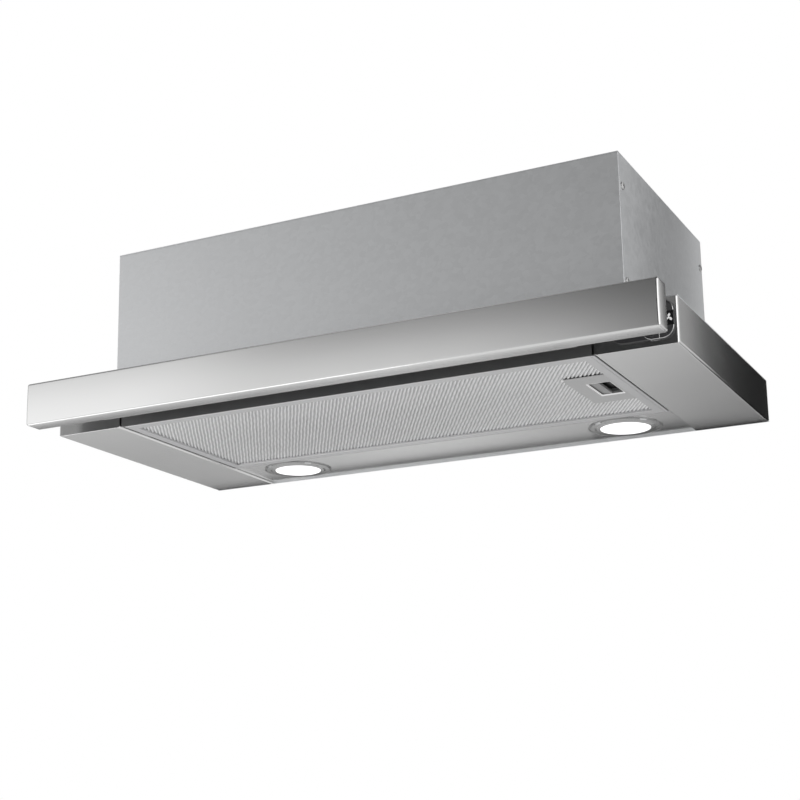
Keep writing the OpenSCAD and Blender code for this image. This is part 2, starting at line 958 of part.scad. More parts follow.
module bar_end_right() {
    color("silver") along_x(bar_cap, half_w) bar_outline();
}

// Carrier: closes the bar's back, and reaches over the finger gap to the drawer's front
module bar_carrier() {
    color("gray")
    difference() {
        union() {
            span([-bar_cap, bar_y1 - sheet, bar_z0 + sheet], [bar_cap, bar_y1, bar_z1 - sheet]);
            span([-carrier_x, bar_y1 - sheet, carrier_foot], [carrier_x, bar_y1 + carrier_d, carrier_top]);
            span([-carrier_x, bar_y1, carrier_top - carrier_t], [carrier_x, front_y, carrier_top]);
            span([-carrier_x, front_y - carrier_t, carrier_top - tongue_flange],
                [carrier_x, front_y, carrier_top]);
        }
        span([-carrier_x - over, bar_y1 - sheet - over, carrier_foot - over],
            [carrier_x + over, bar_y1, bar_z0 + sheet]);
        bar_screw_places() rod_y(0, 0, screw_r + running, front_y - carrier_t - over, front_y + over);
    }
}

module bar_screw_places() {
    for (share = bar_screw_shares)
        translate([carrier_x * share, 0, bar_screw_z]) children();
}

module bar_screws() {
    color("silver")
    bar_screw_places() {
        rod_y(0, 0, screw_r, front_y - carrier_t, drawer_in_front + sheet);
        rod_y(0, 0, head_r, front_y - carrier_t - head_t, front_y - carrier_t);
    }
}

// Grease filter cassette
module filter_tab_places() {
    for (share = tab_shares)
        translate([0, latch_y + share * (filter_y1 - filter_y0) / 2, 0]) children();
}

module filter_frame() {
    color("lightgray")
    difference() {
        union() {
            span([filter_x0, filter_y0, filter_z0], [filter_x1, filter_y1, filter_z1]);
            filter_tab_places()
                span([hinge_x - tab_reach, -tab_d / 2, hinge_z - tab_t / 2],
                    [filter_x0 + filter_sheet, tab_d / 2, hinge_z + tab_t / 2]);
        }
        span([mesh_x0, mesh_y0, filter_z0 - over], [mesh_x1, mesh_y1, filter_z1 + over]);
        span([filter_x0 + filter_sheet, filter_y0 + filter_sheet, filter_z0 + filter_sheet],
            [filter_x1 - filter_sheet, filter_y1 - filter_sheet, filter_z1 - filter_sheet]);
        span([filter_x1 - filter_sheet - over, latch_y - bolt_d / 2 - loose, slider_z0 - loose / 2],
            [filter_x1 + over, latch_y + bolt_d / 2 + loose, slider_z1 + loose]);
    }
}

// The mesh reaches under the frame at all four sides, and is cut out round the latch
module filter_mesh() {
    color("silver")
    difference() {
        union() {
            translate([0, 0, mesh_z]) ridged_sheet(mesh_x0, mesh_x1, mesh_y0, mesh_y1, ridge_pitch);
            for (x = [mesh_x0 - mesh_tuck, mesh_x1])
                span([x, mesh_y0 - mesh_tuck, mesh_z], [x + mesh_tuck, mesh_y1 + mesh_tuck, mesh_z + mesh_t]);
            for (y = [mesh_y0 - mesh_tuck, mesh_y1])
                span([mesh_x0 - mesh_tuck, y, mesh_z], [mesh_x1 + mesh_tuck, y + mesh_tuck, mesh_z + mesh_t]);
        }
        span([latch_x0 - seam, latch_y - latch_d / 2 - seam, mesh_z - over],
            [latch_x1 + mesh_tuck + over, latch_y + latch_d / 2 + seam, mesh_z + mesh_t + ridge_h + over]);
    }
}

// Latch plate with its case: the slider runs inside, over the finger recess
module latch_plate() {
    color("lightgray")
    difference() {
        union() {
            span([latch_x0, latch_y - latch_d / 2, latch_z], [latch_x1, latch_y + latch_d / 2, latch_top]);
            span([case_x0, latch_y - case_d / 2, latch_top], [case_x1, latch_y + case_d / 2, filter_z1]);
        }
        span([case_x0 + case_t, latch_y - case_d / 2 + case_t, latch_top],
            [case_x1 - case_t, latch_y + case_d / 2 - case_t, filter_z1 - case_t]);
        span([recess_x0, latch_y - recess_d / 2, latch_z - over],
            [recess_x1, latch_y + recess_d / 2, latch_top + over]);
        span([case_x1 - case_t - over, latch_y - bolt_d / 2 - loose, latch_top],
            [case_x1 + over, latch_y + bolt_d / 2 + loose, slider_z1 + loose]);
    }
}

module latch_slider() {
    outer_d = recess_d / 2 + slider_rail;
    color("gainsboro")
    difference() {
        union() {
            span([slider_x0, latch_y - outer_d, slider_z0], [slider_x1, latch_y + outer_d, slider_z1]);
            span([slider_x1 - slider_bar, latch_y - bolt_d / 2, slider_z0],
                [bolt_x1, latch_y + bolt_d / 2, slider_z1]);
        }
        span([slider_x0 + tab_w, latch_y - recess_d / 2, slider_z0 - over],
            [slider_x1 - slider_bar, latch_y + recess_d / 2, slider_z1 + over]);
        // The tab's underside slopes up towards the recess's left edge
        along_y(latch_y - recess_d / 2, latch_y + recess_d / 2)
            polygon([[slider_x0 - over, slider_z0 - over], [slider_x0 + tab_w * 0.85, slider_z0 - over],
                [slider_x0 + tab_w * 0.85, slider_z0], [slider_x0, slider_z0 + slider_t * 0.4],
                [slider_x0 - over, slider_z0 + slider_t * 0.4]]);
    }
}

// Spring wire along X, as one unbroken tube of six sides
spring_x0 = case_x0 + case_t + seam / 2;
spring_x1 = slider_x0 - seam / 2;
spring_rings = spring_turns * 12;
function spring_place(i) = let (a = 360 * i * spring_turns / spring_rings)
    [spring_x0 + spring_wire + (spring_x1 - spring_x0 - 2 * spring_wire) * i / spring_rings,
        latch_y + spring_r * cos(a), spring_z + spring_r * sin(a)];
function spring_ring(i) = let (a = 360 * i * spring_turns / spring_rings)
    [for (k = [0 : 5])
        spring_place(i) + spring_wire * [cos(60 * k), sin(60 * k) * cos(a), sin(60 * k) * sin(a)]];

module latch_spring() {
    points = [for (i = [0 : spring_rings]) each spring_ring(i)];
    sides = [for (i = [0 : spring_rings - 1]) for (k = [0 : 5]) for (half = [0, 1])
        half == 0 ? [6 * i + k, 6 * i + 6 + k, 6 * i + (k + 1) % 6]
            : [6 * i + 6 + k, 6 * i + 6 + (k + 1) % 6, 6 * i + (k + 1) % 6]];
    ends = [[for (k = [0 : 5]) k], [for (k = [5 : -1 : 0]) 6 * spring_rings + k]];
    color("silver") polyhedron(points, concat(sides, ends), convexity = 10);
}

// Control plate: a tall pad at the right, a slightly lower lobe, and the window's cut-out
module control_plate() {
    pad_x0 = ctl_x1 - pad_w;
    color("darkgray")
    difference() {
        union() {
            along_y(front_y - ctl_t, front_y)
                round_patch([pad_x0 - ctl_r, ctl_bottom], [ctl_x1, ctl_top], ctl_r);
            along_y(front_y - ctl_t + lobe_drop, front_y)
                round_patch([ctl_x0, ctl_bottom + lobe_rise], [pad_x0 + ctl_r, ctl_top - lobe_rise], ctl_r);
        }
        span([ctl_x0 - over, front_y - ctl_t - over, ctl_bottom - over],
            [pad_x0, front_y - ctl_t + lobe_drop, ctl_top + over]);
        span([win_x0, front_y - ctl_t - over, win_top - win_h], [ctl_x1 + over, front_y + over, win_top]);
        control_screw_places() {
            rod_y(0, 0, screw_r + running, front_y - ctl_t - over, front_y + over);
            rod_y(0, 0, head_r * 0.7 + running, front_y - ctl_t - over, front_y - ctl_t + head_t * 0.5);
        }
        translate([ctl_x1 - pad_w / 2, 0, ctl_bottom + head_r * 1.5])
            rod_y(0, 0, screw_r * 0.7, front_y - ctl_t - over, front_y + over);
    }
}

module control_screw_places() {
    translate([ctl_x1 - head_r * 1.6, 0, ctl_top - head_r * 1.4]) children();
    translate([ctl_x1 - pad_w - head_r * 1.6, 0, ctl_bottom + head_r * 1.2]) children();
}

module control_window() {
    color("black")
    difference() {
        span([win_x0, front_y - win_t, win_top - win_h], [ctl_x1, front_y, win_top]);
        slot_for(light_x, lamp_travel);
        slot_for(fan_x, fan_travel);
    }
}

module slot_for(x, travel) {
    span([x - stem_w / 2 - loose, front_y - win_t - over, knob_z - stem_w / 2 - loose],
        [x + travel + stem_w / 2 + loose, front_y + over, knob_z + stem_w / 2 + loose]);
}

module switch_body() {
    color("black")
    difference() {
        span([switch_x0, drawer_in_front, knob_z - switch_h / 2],
            [switch_x1, drawer_in_front + switch_d, knob_z + switch_h / 2]);
        for (place = [[light_x, lamp_travel], [fan_x, fan_travel]])
            span([place[0] - stem_w / 2 - loose, drawer_in_front - over, knob_z - stem_w / 2 - loose],
                [place[0] + place[1] + stem_w / 2 + loose, drawer_in_front + stem_len,
                    knob_z + stem_w / 2 + loose]);
    }
}

module knob(x) {
    y1 = front_y - win_t - knob_gap;
    span([x - knob_w / 2, y1 - knob_t, knob_z - knob_h / 2], [x + knob_w / 2, y1, knob_z + knob_h / 2]);
    span([x - stem_w / 2, y1 - knob_t / 2, knob_z - stem_w / 2],
        [x + stem_w / 2, drawer_in_front + stem_len - loose, knob_z + stem_w / 2]);
}

module light_knob() {
    color("black") knob(light_x);
}

module fan_knob() {
    color("black") knob(fan_x);
}

// Lamp: the bezel is turned from one section, stepped as seen from below
module lamp_bezel() {
    z = under_z;
    color("silver")
    translate([lamp_x, lamp_y, 0]) rotate_extrude()
        polygon([[bezel_r, strip_z], [bezel_r, strip_z - bezel_flange],
            [bezel_r - 2 * bezel_flange, strip_z - 1.6 * bezel_flange],
            [barrel_r, strip_z - 1.6 * bezel_flange], [barrel_r - bezel_flange, strip_z - bezel_flange],
            [barrel_in - bezel_flange, strip_z - bezel_flange], [lens_r + 2 * bezel_flange, z],
            [lens_r + seam, z], [lens_r + seam, z + lens_t], [barrel_in, z + lens_t],
            [barrel_in, strip_z + barrel_h], [barrel_r, strip_z + barrel_h], [barrel_r, strip_z]]);
}

module lamp_bezel_left() {
    mirror([1, 0, 0]) lamp_bezel();
}

module lamp_bezel_right() {
    lamp_bezel();
}

module lamp_lens() {
    color("white") rod_z(lamp_x, lamp_y, lens_r, under_z, under_z + lens_t);
}

module lamp_lens_left() {
    mirror([1, 0, 0]) lamp_lens();
}

module lamp_lens_right() {
    lamp_lens();
}

// Lamp body with cooling fins, and two spring clips that hold the bezel up to the strip
module lamp_body() {
    z0 = under_z + lens_t;
    r = barrel_in - running;
    translate([lamp_x, lamp_y, 0]) {
        rod_z(0, 0, r, z0, z0 + lamp_h / 2);
        rod_z(0, 0, r / 2, z0, z0 + lamp_h);
        for (i = [1 : 3])
            rod_z(0, 0, r, z0 + lamp_h / 2 + i * lamp_h / 6 - fin_t, z0 + lamp_h / 2 + i * lamp_h / 6);
    }
}

module lamp_clip() {
    z1 = strip_z + barrel_h;
    translate([lamp_x, lamp_y, 0]) along_y(-clip_w / 2, clip_w / 2)
        polygon([[barrel_r, z1], [barrel_r, z1 - 2 * clip_t],
            [barrel_r + clip_reach - clip_t, strip_z + sheet], [barrel_r + clip_reach, strip_z + sheet],
            [barrel_r + clip_t, z1]]);
}

module lamp_bodies() {
    color("gray")
    both_sides() {
        lamp_body();
        lamp_clip();
        translate([2 * lamp_x, 0, 0]) mirror([1, 0, 0]) lamp_clip();
    }
}

// Electrics
module lamp_driver() {
    color("black")
    span([-half_w + driver_side, driver_y - driver_d / 2, -sheet - driver_h],
        [-slide_back - hanger_w - driver_gap, driver_y + driver_d / 2, -sheet]);
}

module terminal_box() {
    color("dimgray")
    difference() {
        span([terminal_x0, hsg_back - sheet - terminal_d, terminal_z0],
            [terminal_x0 + terminal_w, hsg_back - sheet, terminal_z0 + terminal_h]);
        rod_z(gland_x, gland_y, gland_bore, terminal_z0 + terminal_h / 2, terminal_z0 + terminal_h + over);
    }
}

module capacitor() {
    color("gainsboro")
    rod_x(hsg_back - sheet - cap_r, terminal_z0 + cap_r, cap_r, cap_x0, cap_x0 + cap_h);
}

module cable_gland() {
    color("black")
    difference() {
        union() {
            rod_z(gland_x, gland_y, gland_flange, hsg_h, hsg_h + gland_h / 2);
            rod_z(gland_x, gland_y, gland_r + screw_r, hsg_h, hsg_h + gland_h);
            rod_z(gland_x, gland_y, gland_r, hsg_in - gland_h / 2, hsg_h + gland_h);
            rod_z(gland_x, gland_y, gland_flange, hsg_in - gland_h / 2, hsg_in);
        }
        rod_z(gland_x, gland_y, gland_bore, hsg_in - gland_h, hsg_h + gland_h + over);
    }
}

module case_screws() {
    color("silver") {
        control_screw_places() {
            rod_y(0, 0, head_r * 0.7, front_y - ctl_t - running, front_y - ctl_t + head_t * 0.5);
            rod_y(0, 0, screw_r, front_y - ctl_t, front_y + sheet + screw_len / 2);
        }
        rim_screw_places() {
            rod_z(0, 0, head_r * 0.9, hsg_h + rim_t - rim_head_t, hsg_h + rim_t);
            rod_z(0, 0, screw_r, hsg_in - rim_tip, hsg_h + rim_t);
        }
        both_sides() end_screw_places() {
            rod_x(0, 0, head_r, hsg_w / 2, hsg_w / 2 + head_t);
            rod_x(0, 0, screw_r, hsg_w / 2 - sheet - flange_t - over, hsg_w / 2);
        }
    }
}

canopy_top();
side_box_left();
side_box_right();
lamp_strip();
housing_front();
housing_back();
housing_end_left();
housing_end_right();
housing_top();
upper_filter_frame();
upper_filter_mesh();
outlet_collar();
damper_pin();
damper_flap_left();
damper_flap_right();
scroll_wall();
scroll_side_left();
scroll_side_right();
impeller();
motor_shaft();
motor_body();
motor_bearings();
motor_bracket();
motor_mounts();
slide_outer_left();
slide_outer_right();
slide_mid_left();
slide_mid_right();
slide_inner_left();
slide_inner_right();
drawer_front();
drawer_side_left();
drawer_side_right();
drawer_top();
drawer_back();
bar_shell();
bar_end_left();
bar_end_right();
bar_carrier();
bar_screws();
filter_frame();
filter_mesh();
latch_plate();
latch_slider();
latch_spring();
control_plate();
control_window();
switch_body();
light_knob();
fan_knob();
lamp_bezel_left();
lamp_bezel_right();
lamp_lens_left();
lamp_lens_right();
lamp_bodies();
lamp_driver();
terminal_box();
capacitor();
cable_gland();
case_screws();
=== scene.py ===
import json
import math

import bmesh
import bpy
from mathutils import Euler, Matrix, Vector

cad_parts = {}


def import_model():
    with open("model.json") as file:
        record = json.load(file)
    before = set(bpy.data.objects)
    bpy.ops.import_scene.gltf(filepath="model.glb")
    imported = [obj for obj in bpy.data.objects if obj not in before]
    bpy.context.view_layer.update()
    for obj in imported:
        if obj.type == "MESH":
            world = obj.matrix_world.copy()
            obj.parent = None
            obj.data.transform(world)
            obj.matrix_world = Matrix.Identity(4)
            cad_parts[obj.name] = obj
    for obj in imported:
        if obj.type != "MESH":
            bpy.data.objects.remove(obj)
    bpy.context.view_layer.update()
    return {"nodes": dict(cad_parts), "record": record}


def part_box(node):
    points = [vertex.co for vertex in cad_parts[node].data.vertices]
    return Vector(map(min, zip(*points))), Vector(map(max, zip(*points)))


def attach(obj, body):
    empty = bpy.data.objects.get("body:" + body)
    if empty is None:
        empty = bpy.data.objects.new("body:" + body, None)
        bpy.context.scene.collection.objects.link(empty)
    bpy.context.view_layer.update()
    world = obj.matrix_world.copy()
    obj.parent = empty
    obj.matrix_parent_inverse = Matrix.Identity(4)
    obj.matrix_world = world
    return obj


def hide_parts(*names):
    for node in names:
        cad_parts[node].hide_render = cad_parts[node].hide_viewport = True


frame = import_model()
bodies = frame["record"]["behaviour"]["bodies"]
node_bodies = {node: body for body, nodes in bodies.items() for node in nodes}
node_slots = {name: part.data.materials[0].name for name, part in frame["nodes"].items()}

MM = 0.001
X_AXIS = Vector((1, 0, 0))
Y_AXIS = Vector((0, 1, 0))
Z_AXIS = Vector((0, 0, 1))


# Shader maths

class Value:
    """What one socket gives; sums on numbers add Math nodes to its finish"""

    def __init__(self, finish, socket):
        self.finish = finish
        self.socket = socket

    def _math(self, operation, *terms):
        return self.finish.node("ShaderNodeMath", {"operation": operation}, dict(enumerate(terms)))

    def __add__(self, other):
        return self._math("ADD", self, other)

    def __sub__(self, other):
        return self._math("SUBTRACT", self, other)

    def __rsub__(self, other):
        return self._math("SUBTRACT", other, self)

    def __mul__(self, other):
        return self._math("MULTIPLY", self, other)

    def __truediv__(self, other):
        return self._math("DIVIDE", self, other)

    def __gt__(self, other):
        return self._math("GREATER_THAN", self, other)

    def __abs__(self):
        return self._math("ABSOLUTE", self)

    __radd__ = __add__
    __rmul__ = __mul__


class Finish:
    """A material or world and the nodes in it"""

    MIX_FACTOR, MIX_A, MIX_B, MIX_RESULT = 0, 6, 7, 2

    def __init__(self, block, output):
        self.block = block
        block.use_nodes = True
        self.tree = block.node_tree
        self.tree.nodes.clear()
        self.output = self.tree.nodes.new(output)

    def node(self, kind, settings=None, inputs=None, output=0):
        """Adds a node: its settings first, then the values or links of its sockets"""
        made = self.tree.nodes.new(kind)
        for key, setting in (settings or {}).items():
            if key == "stops":
                self._set_stops(made.color_ramp, setting)
            else:
                setattr(made, key, setting)
        for key, value in (inputs or {}).items():
            if isinstance(value, Value):
                self.tree.links.new(value.socket, made.inputs[key])
            else:
                made.inputs[key].default_value = value
        return Value(self, made.outputs[output])

    def _set_stops(self, ramp, stops):
        while len(ramp.elements) < len(stops):
            ramp.elements.new(1)
        for element, (position, grey) in zip(ramp.elements, stops):
            element.position = position
            element.color = (grey, grey, grey, 1)

    def place(self, stretch=(1, 1, 1)):
        """The point's place on the piece in millimetres, divided by the stretch along each axis"""
        here = self.node("ShaderNodeTexCoord", output="Object")
        share = tuple(1 / (MM * along) for along in stretch)
        return self.node("ShaderNodeVectorMath", {"operation": "MULTIPLY"}, {0: here, 1: share})

    def shifted(self, stretch, shift):
        """The point's place with a shift added, which bends what is drawn there"""
        return self.node("ShaderNodeVectorMath", {"operation": "ADD"}, {0: self.place(stretch), 1: shift})

    def part(self, vector, axis):
        """One coordinate of a vector"""
        return self.node("ShaderNodeSeparateXYZ", None, {"Vector": vector}, axis)

    def red(self, colour):
        """The red of a colour, which is the brightness of a grey one"""
        return self.node("ShaderNodeSeparateColor", None, {"Color": colour}, "Red")

    def cells(self, place, feature, output, randomness=1):
        inputs = {"Vector": place, "Scale": 1, "Randomness": randomness}
        return self.node("ShaderNodeTexVoronoi", {"feature": feature}, inputs, output)

    def noise(self, stretch, detail=2, roughness=0.5):
        settings = {"noise_dimensions": "3D"}
        inputs = {"Vector": self.place(stretch), "Scale": 1, "Detail": detail, "Roughness": roughness}
        return self.node("ShaderNodeTexNoise", settings, inputs, "Fac")

    def ramp(self, factor, stops):
        return self.node("ShaderNodeValToRGB", {"stops": stops}, {"Fac": factor})

    def mix(self, factor, first, second):
        inputs = {self.MIX_FACTOR: factor, self.MIX_A: first, self.MIX_B: second}
        return self.node("ShaderNodeMix", {"data_type": "RGBA"}, inputs, self.MIX_RESULT)

    def bump(self, height, depth):
        """The normal that a height map gives, with its depth in millimetres"""
        return self.node("ShaderNodeBump", None, {"Height": height, "Distance": depth * MM, "Strength": 1})

    def surface(self, shader):
        self.tree.links.new(shader.socket, self.output.inputs["Surface"])


def shade(colour, factor):
    """A colour made darker or lighter, as a shader socket takes it"""
    return tuple(min(part * factor, 1) for part in colour) + (1,)


finishes = {}


def start_finish(slot):
    return Finish(bpy.data.materials.new(slot), "ShaderNodeOutputMaterial")


def end_finish(slot, finish, inputs):
    """Closes a finish with one Principled shader and keeps it under its slot's name"""
    finish.surface(finish.node("ShaderNodeBsdfPrincipled", None, inputs, "BSDF"))
    finishes[slot] = finish.block


END_FACING = 0.7


def across(finish, stretch_x, stretch_y):
    """Streaks along X on faces that look up, down, forward or back, and along Y on the ends"""
    normal = finish.node("ShaderNodeTexCoord", output="Normal")
    faces_end = abs(finish.part(normal, "X")) > END_FACING
    return finish.noise(stretch_x) * (1 - faces_end) + finish.noise(stretch_y) * faces_end


def brushed_metal(slot, colour, roughness, grain, run, spread=0.014, depth=0.0006):
    """Rolled or brushed sheet: fine streaks, broader bands and the faint cloudiness of handling"""
    finish = start_finish(slot)
    fine = across(finish, (run, grain, grain), (grain, run, grain))
    bands = across(finish, (run * 4, grain * 9, grain * 9), (grain * 9, run * 4, grain * 9))
    cloud = finish.noise((90, 60, 60), 3)
    tone = 0.6 * fine + 0.25 * bands + 0.15 * cloud
    end_finish(slot, finish, {
        "Base Color": finish.mix(tone, shade(colour, 1 - spread), shade(colour, 1 + spread)),
        "Roughness": roughness + 0.03 * (fine - 0.5) + 0.04 * (cloud - 0.5),
        "Metallic": 1,
        "Normal": finish.bump(0.7 * fine + 0.3 * bands, depth),
    })


def galvanised_sheet(slot):
    """Hot-dipped zinc: flat crystals of slightly different greys under a dull skin"""
    finish = start_finish(slot)
    where = finish.shifted((5, 4, 4), finish.noise((4, 4, 4), 3))
    spangle = finish.red(finish.cells(where, "F1", "Color"))
    rolled = finish.noise((40, 0.8, 0.8))
    cloud = finish.noise((70, 70, 70), 3)
    tone = 0.5 * spangle + 0.2 * rolled + 0.3 * cloud
    colour = (0.72, 0.73, 0.74)
    end_finish(slot, finish, {
        "Base Color": finish.mix(tone, shade(colour, 0.93), shade(colour, 1.05)),
        "Roughness": 0.42 + 0.05 * spangle + 0.06 * (cloud - 0.5),
        "Metallic": 0.85,
        "Normal": finish.bump(0.3 * spangle + 0.7 * rolled, 0.006),
    })


def moulded_plastic(slot, colour, roughness, grain=0.35, depth=0.02, wear=0.08):
    """Moulded plastic: an even spark-eroded grain, a slightly uneven gloss and rubbed places"""
    finish = start_finish(slot)
    grained = finish.noise((grain, grain, grain), 3, 0.6)
    flow = finish.noise((30, 22, 22), 2)
    rubbed = finish.noise((7, 12, 7), 4, 0.65)
    tone = 0.45 * flow + 0.35 * rubbed + 0.2 * grained
    end_finish(slot, finish, {
        "Base Color": finish.mix(tone, shade(colour, 1 - wear), shade(colour, 1 + wear)),
        "Roughness": roughness + 0.1 * (rubbed - 0.5) + 0.06 * (grained - 0.5),
        "Normal": finish.bump(grained, depth),
    })


def gloss_black(slot):
    """Polished black acrylic with a trace of wiping marks"""
    finish = start_finish(slot)
    wiped = finish.noise((14, 2, 2), 4, 0.6)
    cloud = finish.noise((18, 18, 18), 2)
    end_finish(slot, finish, {
        "Base Color": finish.mix(cloud, (0.006, 0.006, 0.007, 1), (0.012, 0.012, 0.013, 1)),
        "Roughness": 0.12 + 0.12 * wiped,
        "Normal": finish.bump(wiped, 0.003),
        "Coat Weight": 0.4,
        "Coat Roughness": 0.05,
    })


def soft_rubber(slot):
    """Black rubber, dull, with a dusting of pale bloom"""
    finish = start_finish(slot)
    bloom = finish.noise((5, 5, 5), 4, 0.6)
    grained = finish.noise((0.5, 0.5, 0.5), 2)
    end_finish(slot, finish, {
        "Base Color": finish.mix(bloom, (0.016, 0.016, 0.016, 1), (0.045, 0.044, 0.042, 1)),
        "Roughness": 0.62 + 0.2 * bloom,
        "Normal": finish.bump(grained, 0.03),
    })


def spun_metal(slot, colour, roughness):
    """Turned and polished metal of the lamps, with fine turning marks"""
    finish = start_finish(slot)
    marks = finish.noise((0.4, 0.4, 0.2), 2)
    cloud = finish.noise((16, 16, 16), 3)
    end_finish(slot, finish, {
        "Base Color": finish.mix(0.5 * marks + 0.5 * cloud, shade(colour, 0.9), shade(colour, 1.08)),
        "Roughness": roughness + 0.1 * (marks - 0.5) + 0.08 * (cloud - 0.5),
        "Metallic": 1,
        "Normal": finish.bump(marks, 0.006),
    })


def lit_lens(slot):
    """Opal lens of a lamp that is on, with the fine cells of its diffuser"""
    finish = start_finish(slot)
    cells = finish.cells(finish.place((1.4, 1.4, 1.4)), "F1", "Distance")
    cloud = finish.noise((9, 9, 9), 2)
    tone = 0.7 * cells + 0.3 * cloud
    end_finish(slot, finish, {
        "Base Color": finish.mix(tone, (0.9, 0.9, 0.9, 1), (0.8, 0.8, 0.8, 1)),
        "Roughness": 0.3 + 0.2 * cells,
        "Normal": finish.bump(cells, 0.05),
        "Emission Color": finish.mix(tone, (1, 1, 1, 1), (0.93, 0.93, 0.93, 1)),
        "Emission Strength": 1,
    })


CREST_RISE = 0.7
MESH_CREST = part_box("filter_mesh")[0][2] / MM + CREST_RISE
MESH_DEPTH = 1.05


def expanded_mesh(slot):
    """Expanded aluminium foil: small open cells between bright strands, with painted shade down in the
    grooves
    """
    finish = start_finish(slot)
    height = finish.part(finish.place(), "Z")
    # Painted shade: the colour darkens from the crests down into the grooves
    groove_shade = finish.red(finish.ramp((height - MESH_CREST) / MESH_DEPTH, [(0.12, 0), (0.75, 1)]))
    where = finish.shifted((0.9, 1.9, 1.5), finish.noise((5, 5, 5), 2))
    strand = finish.cells(where, "DISTANCE_TO_EDGE", "Distance", 0.45)
    open_cell = finish.red(finish.ramp(strand, [(0.06, 0), (0.3, 1)]))
    cloud = finish.noise((28, 16, 16), 3)
    tone = 0.72 * groove_shade + 0.16 * open_cell + 0.12 * cloud
    end_finish(slot, finish, {
        "Base Color": finish.mix(tone, (0.97, 0.97, 0.975, 1), (0.45, 0.45, 0.453, 1)),
        "Roughness": 0.42 + 0.08 * open_cell,
        "Metallic": 1,
        "Normal": finish.bump(1 - open_cell, 0.02),
    })


def white_print(slot):
    """White ink printed on a glossy window, with a faint painted glow; the same glowing white paints the
    highlights of the latch recess rim and of the latch plate's corner
    """
    finish = start_finish(slot)
    speckle = finish.noise((0.4, 0.4, 0.4), 3)
    end_finish(slot, finish, {
        "Base Color": finish.mix(speckle, (0.82, 0.82, 0.82, 1), (0.9, 0.9, 0.9, 1)),
        "Roughness": 0.5 + 0.1 * speckle,
        # A faint painted glow, also used for the painted highlights at the latch
        "Emission Color": finish.mix(speckle, (0.2, 0.2, 0.2, 1), (0.24, 0.24, 0.24, 1)),
        "Emission Strength": 1,
    })


def make_finishes():
    """The finishes, the grain and depth of each in millimetres"""
    brushed_metal("brushed_steel", (0.68, 0.68, 0.678), roughness=0.22, grain=0.22, run=120)
    brushed_metal("drawer_steel", (0.4, 0.4, 0.403), roughness=0.42, grain=0.35, run=60, spread=0.05)
    brushed_metal("filter_aluminium", (0.6, 0.6, 0.605), roughness=0.32, grain=0.4, run=40, spread=0.02)
    brushed_metal("zinc_steel", (0.6, 0.6, 0.6), roughness=0.34, grain=0.5, run=3, spread=0.1, depth=0.02)
    galvanised_sheet("galvanised_sheet")
    expanded_mesh("expanded_mesh")
    spun_metal("lamp_metal", (0.4, 0.4, 0.4), roughness=0.28)
    lit_lens("lamp_lens")
    moulded_plastic("latch_plastic", (0.56, 0.56, 0.56), roughness=0.42, depth=0.01, wear=0.03)
    moulded_plastic("latch_tab", (0.33, 0.33, 0.33), roughness=0.42, depth=0.01, wear=0.03)
    moulded_plastic("grey_plastic", (0.058, 0.058, 0.06), roughness=0.42)
    moulded_plastic("black_plastic", (0.02, 0.02, 0.021), roughness=0.4)
    moulded_plastic("collar_plastic", (0.03, 0.03, 0.032), roughness=0.5, grain=0.5, depth=0.03)
    gloss_black("black_gloss")
    white_print("white_print")
    soft_rubber("rubber")


make_finishes()


# Ways to make and place a piece

WELD = 0.002 * MM
FLAT_ANGLE = math.radians(0.6)
EDGE_ANGLE = math.radians(32)
AREA_WEIGHT = 100

# Steps of the rounding on edges that are seen close
CLOSE_STEPS = 3

# Edge radii in millimetres
SHEET_EDGE = 0.3
FOLD_EDGE = 0.35
MOULD_EDGE = 0.4
WINDOW_EDGE = 0.15
KEEPER_EDGE = 0.25
SHADE_SHEET_EDGE = 0.05
RIM_EDGE = 0.12
LUG_EDGE = 0.2
KNOB_EDGE = 0.18


def finished_mesh(name, shape):
    """A mesh of a bmesh, with its faces turned outwards"""
    bmesh.ops.recalc_face_normals(shape, faces=shape.faces)
    mesh = bpy.data.meshes.new(name)
    shape.to_mesh(mesh)
    shape.free()
    return mesh


def shape_of(mesh):
    shape = bmesh.new()
    shape.from_mesh(mesh)
    return shape


def put_in_scene(name, data):
    thing = bpy.data.objects.new(name, data)
    bpy.context.scene.collection.objects.link(thing)
    return thing


def add_piece(name, shape, slot, body, *stood_for, finish=None):
    """Makes an object of a bmesh, with its finish, on its body"""
    piece = put_in_scene(name, finished_mesh(name, shape))
    piece.data.materials.append(finishes[finish or slot])
    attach(piece, body)
    if stood_for:
        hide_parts(*stood_for)
    return piece


def even_faces(piece):
    """Shades each flat face as flat, right up to the folds beside it"""
    weighted = piece.modifiers.new("even faces", "WEIGHTED_NORMAL")
    weighted.mode = "FACE_AREA"
    weighted.weight = AREA_WEIGHT
    weighted.keep_sharp = True


def smooth_faces(piece):
    for face in piece.data.polygons:
        face.use_smooth = True


def smooth(piece):
    """Smooth shading between the sharper edges"""
    smooth_faces(piece)
    piece.data.set_sharp_from_angle(angle=EDGE_ANGLE)
    return piece


def round_edges(piece, radius, segments=2):
    """Rounds the sharp edges of a piece by a bevel that keeps its flat faces flat"""
    bevel = piece.modifiers.new("rounded edges", "BEVEL")
    bevel.width = radius * MM
    bevel.segments = segments
    bevel.limit_method = "ANGLE"
    bevel.angle_limit = EDGE_ANGLE
    smooth_faces(piece)
    even_faces(piece)


def solid_copy(node):
    """The shape of a CAD node as one clean mesh, without the cuts of its triangles"""
    shape = shape_of(frame["nodes"][node].data)
    bmesh.ops.remove_doubles(shape, verts=shape.verts, dist=WELD)
    bmesh.ops.dissolve_limit(shape, angle_limit=FLAT_ANGLE, verts=shape.verts, edges=shape.edges)
    return shape


def refine(node, radius=SHEET_EDGE, segments=2, finish=None):
    """Stands for a CAD node with the same shape, its edges rounded as the press or mould leaves them"""
    shape = solid_copy(node)
    piece = add_piece(node + "_finished", shape, node_slots[node], node_bodies[node], node, finish=finish)
    round_edges(piece, radius, segments)


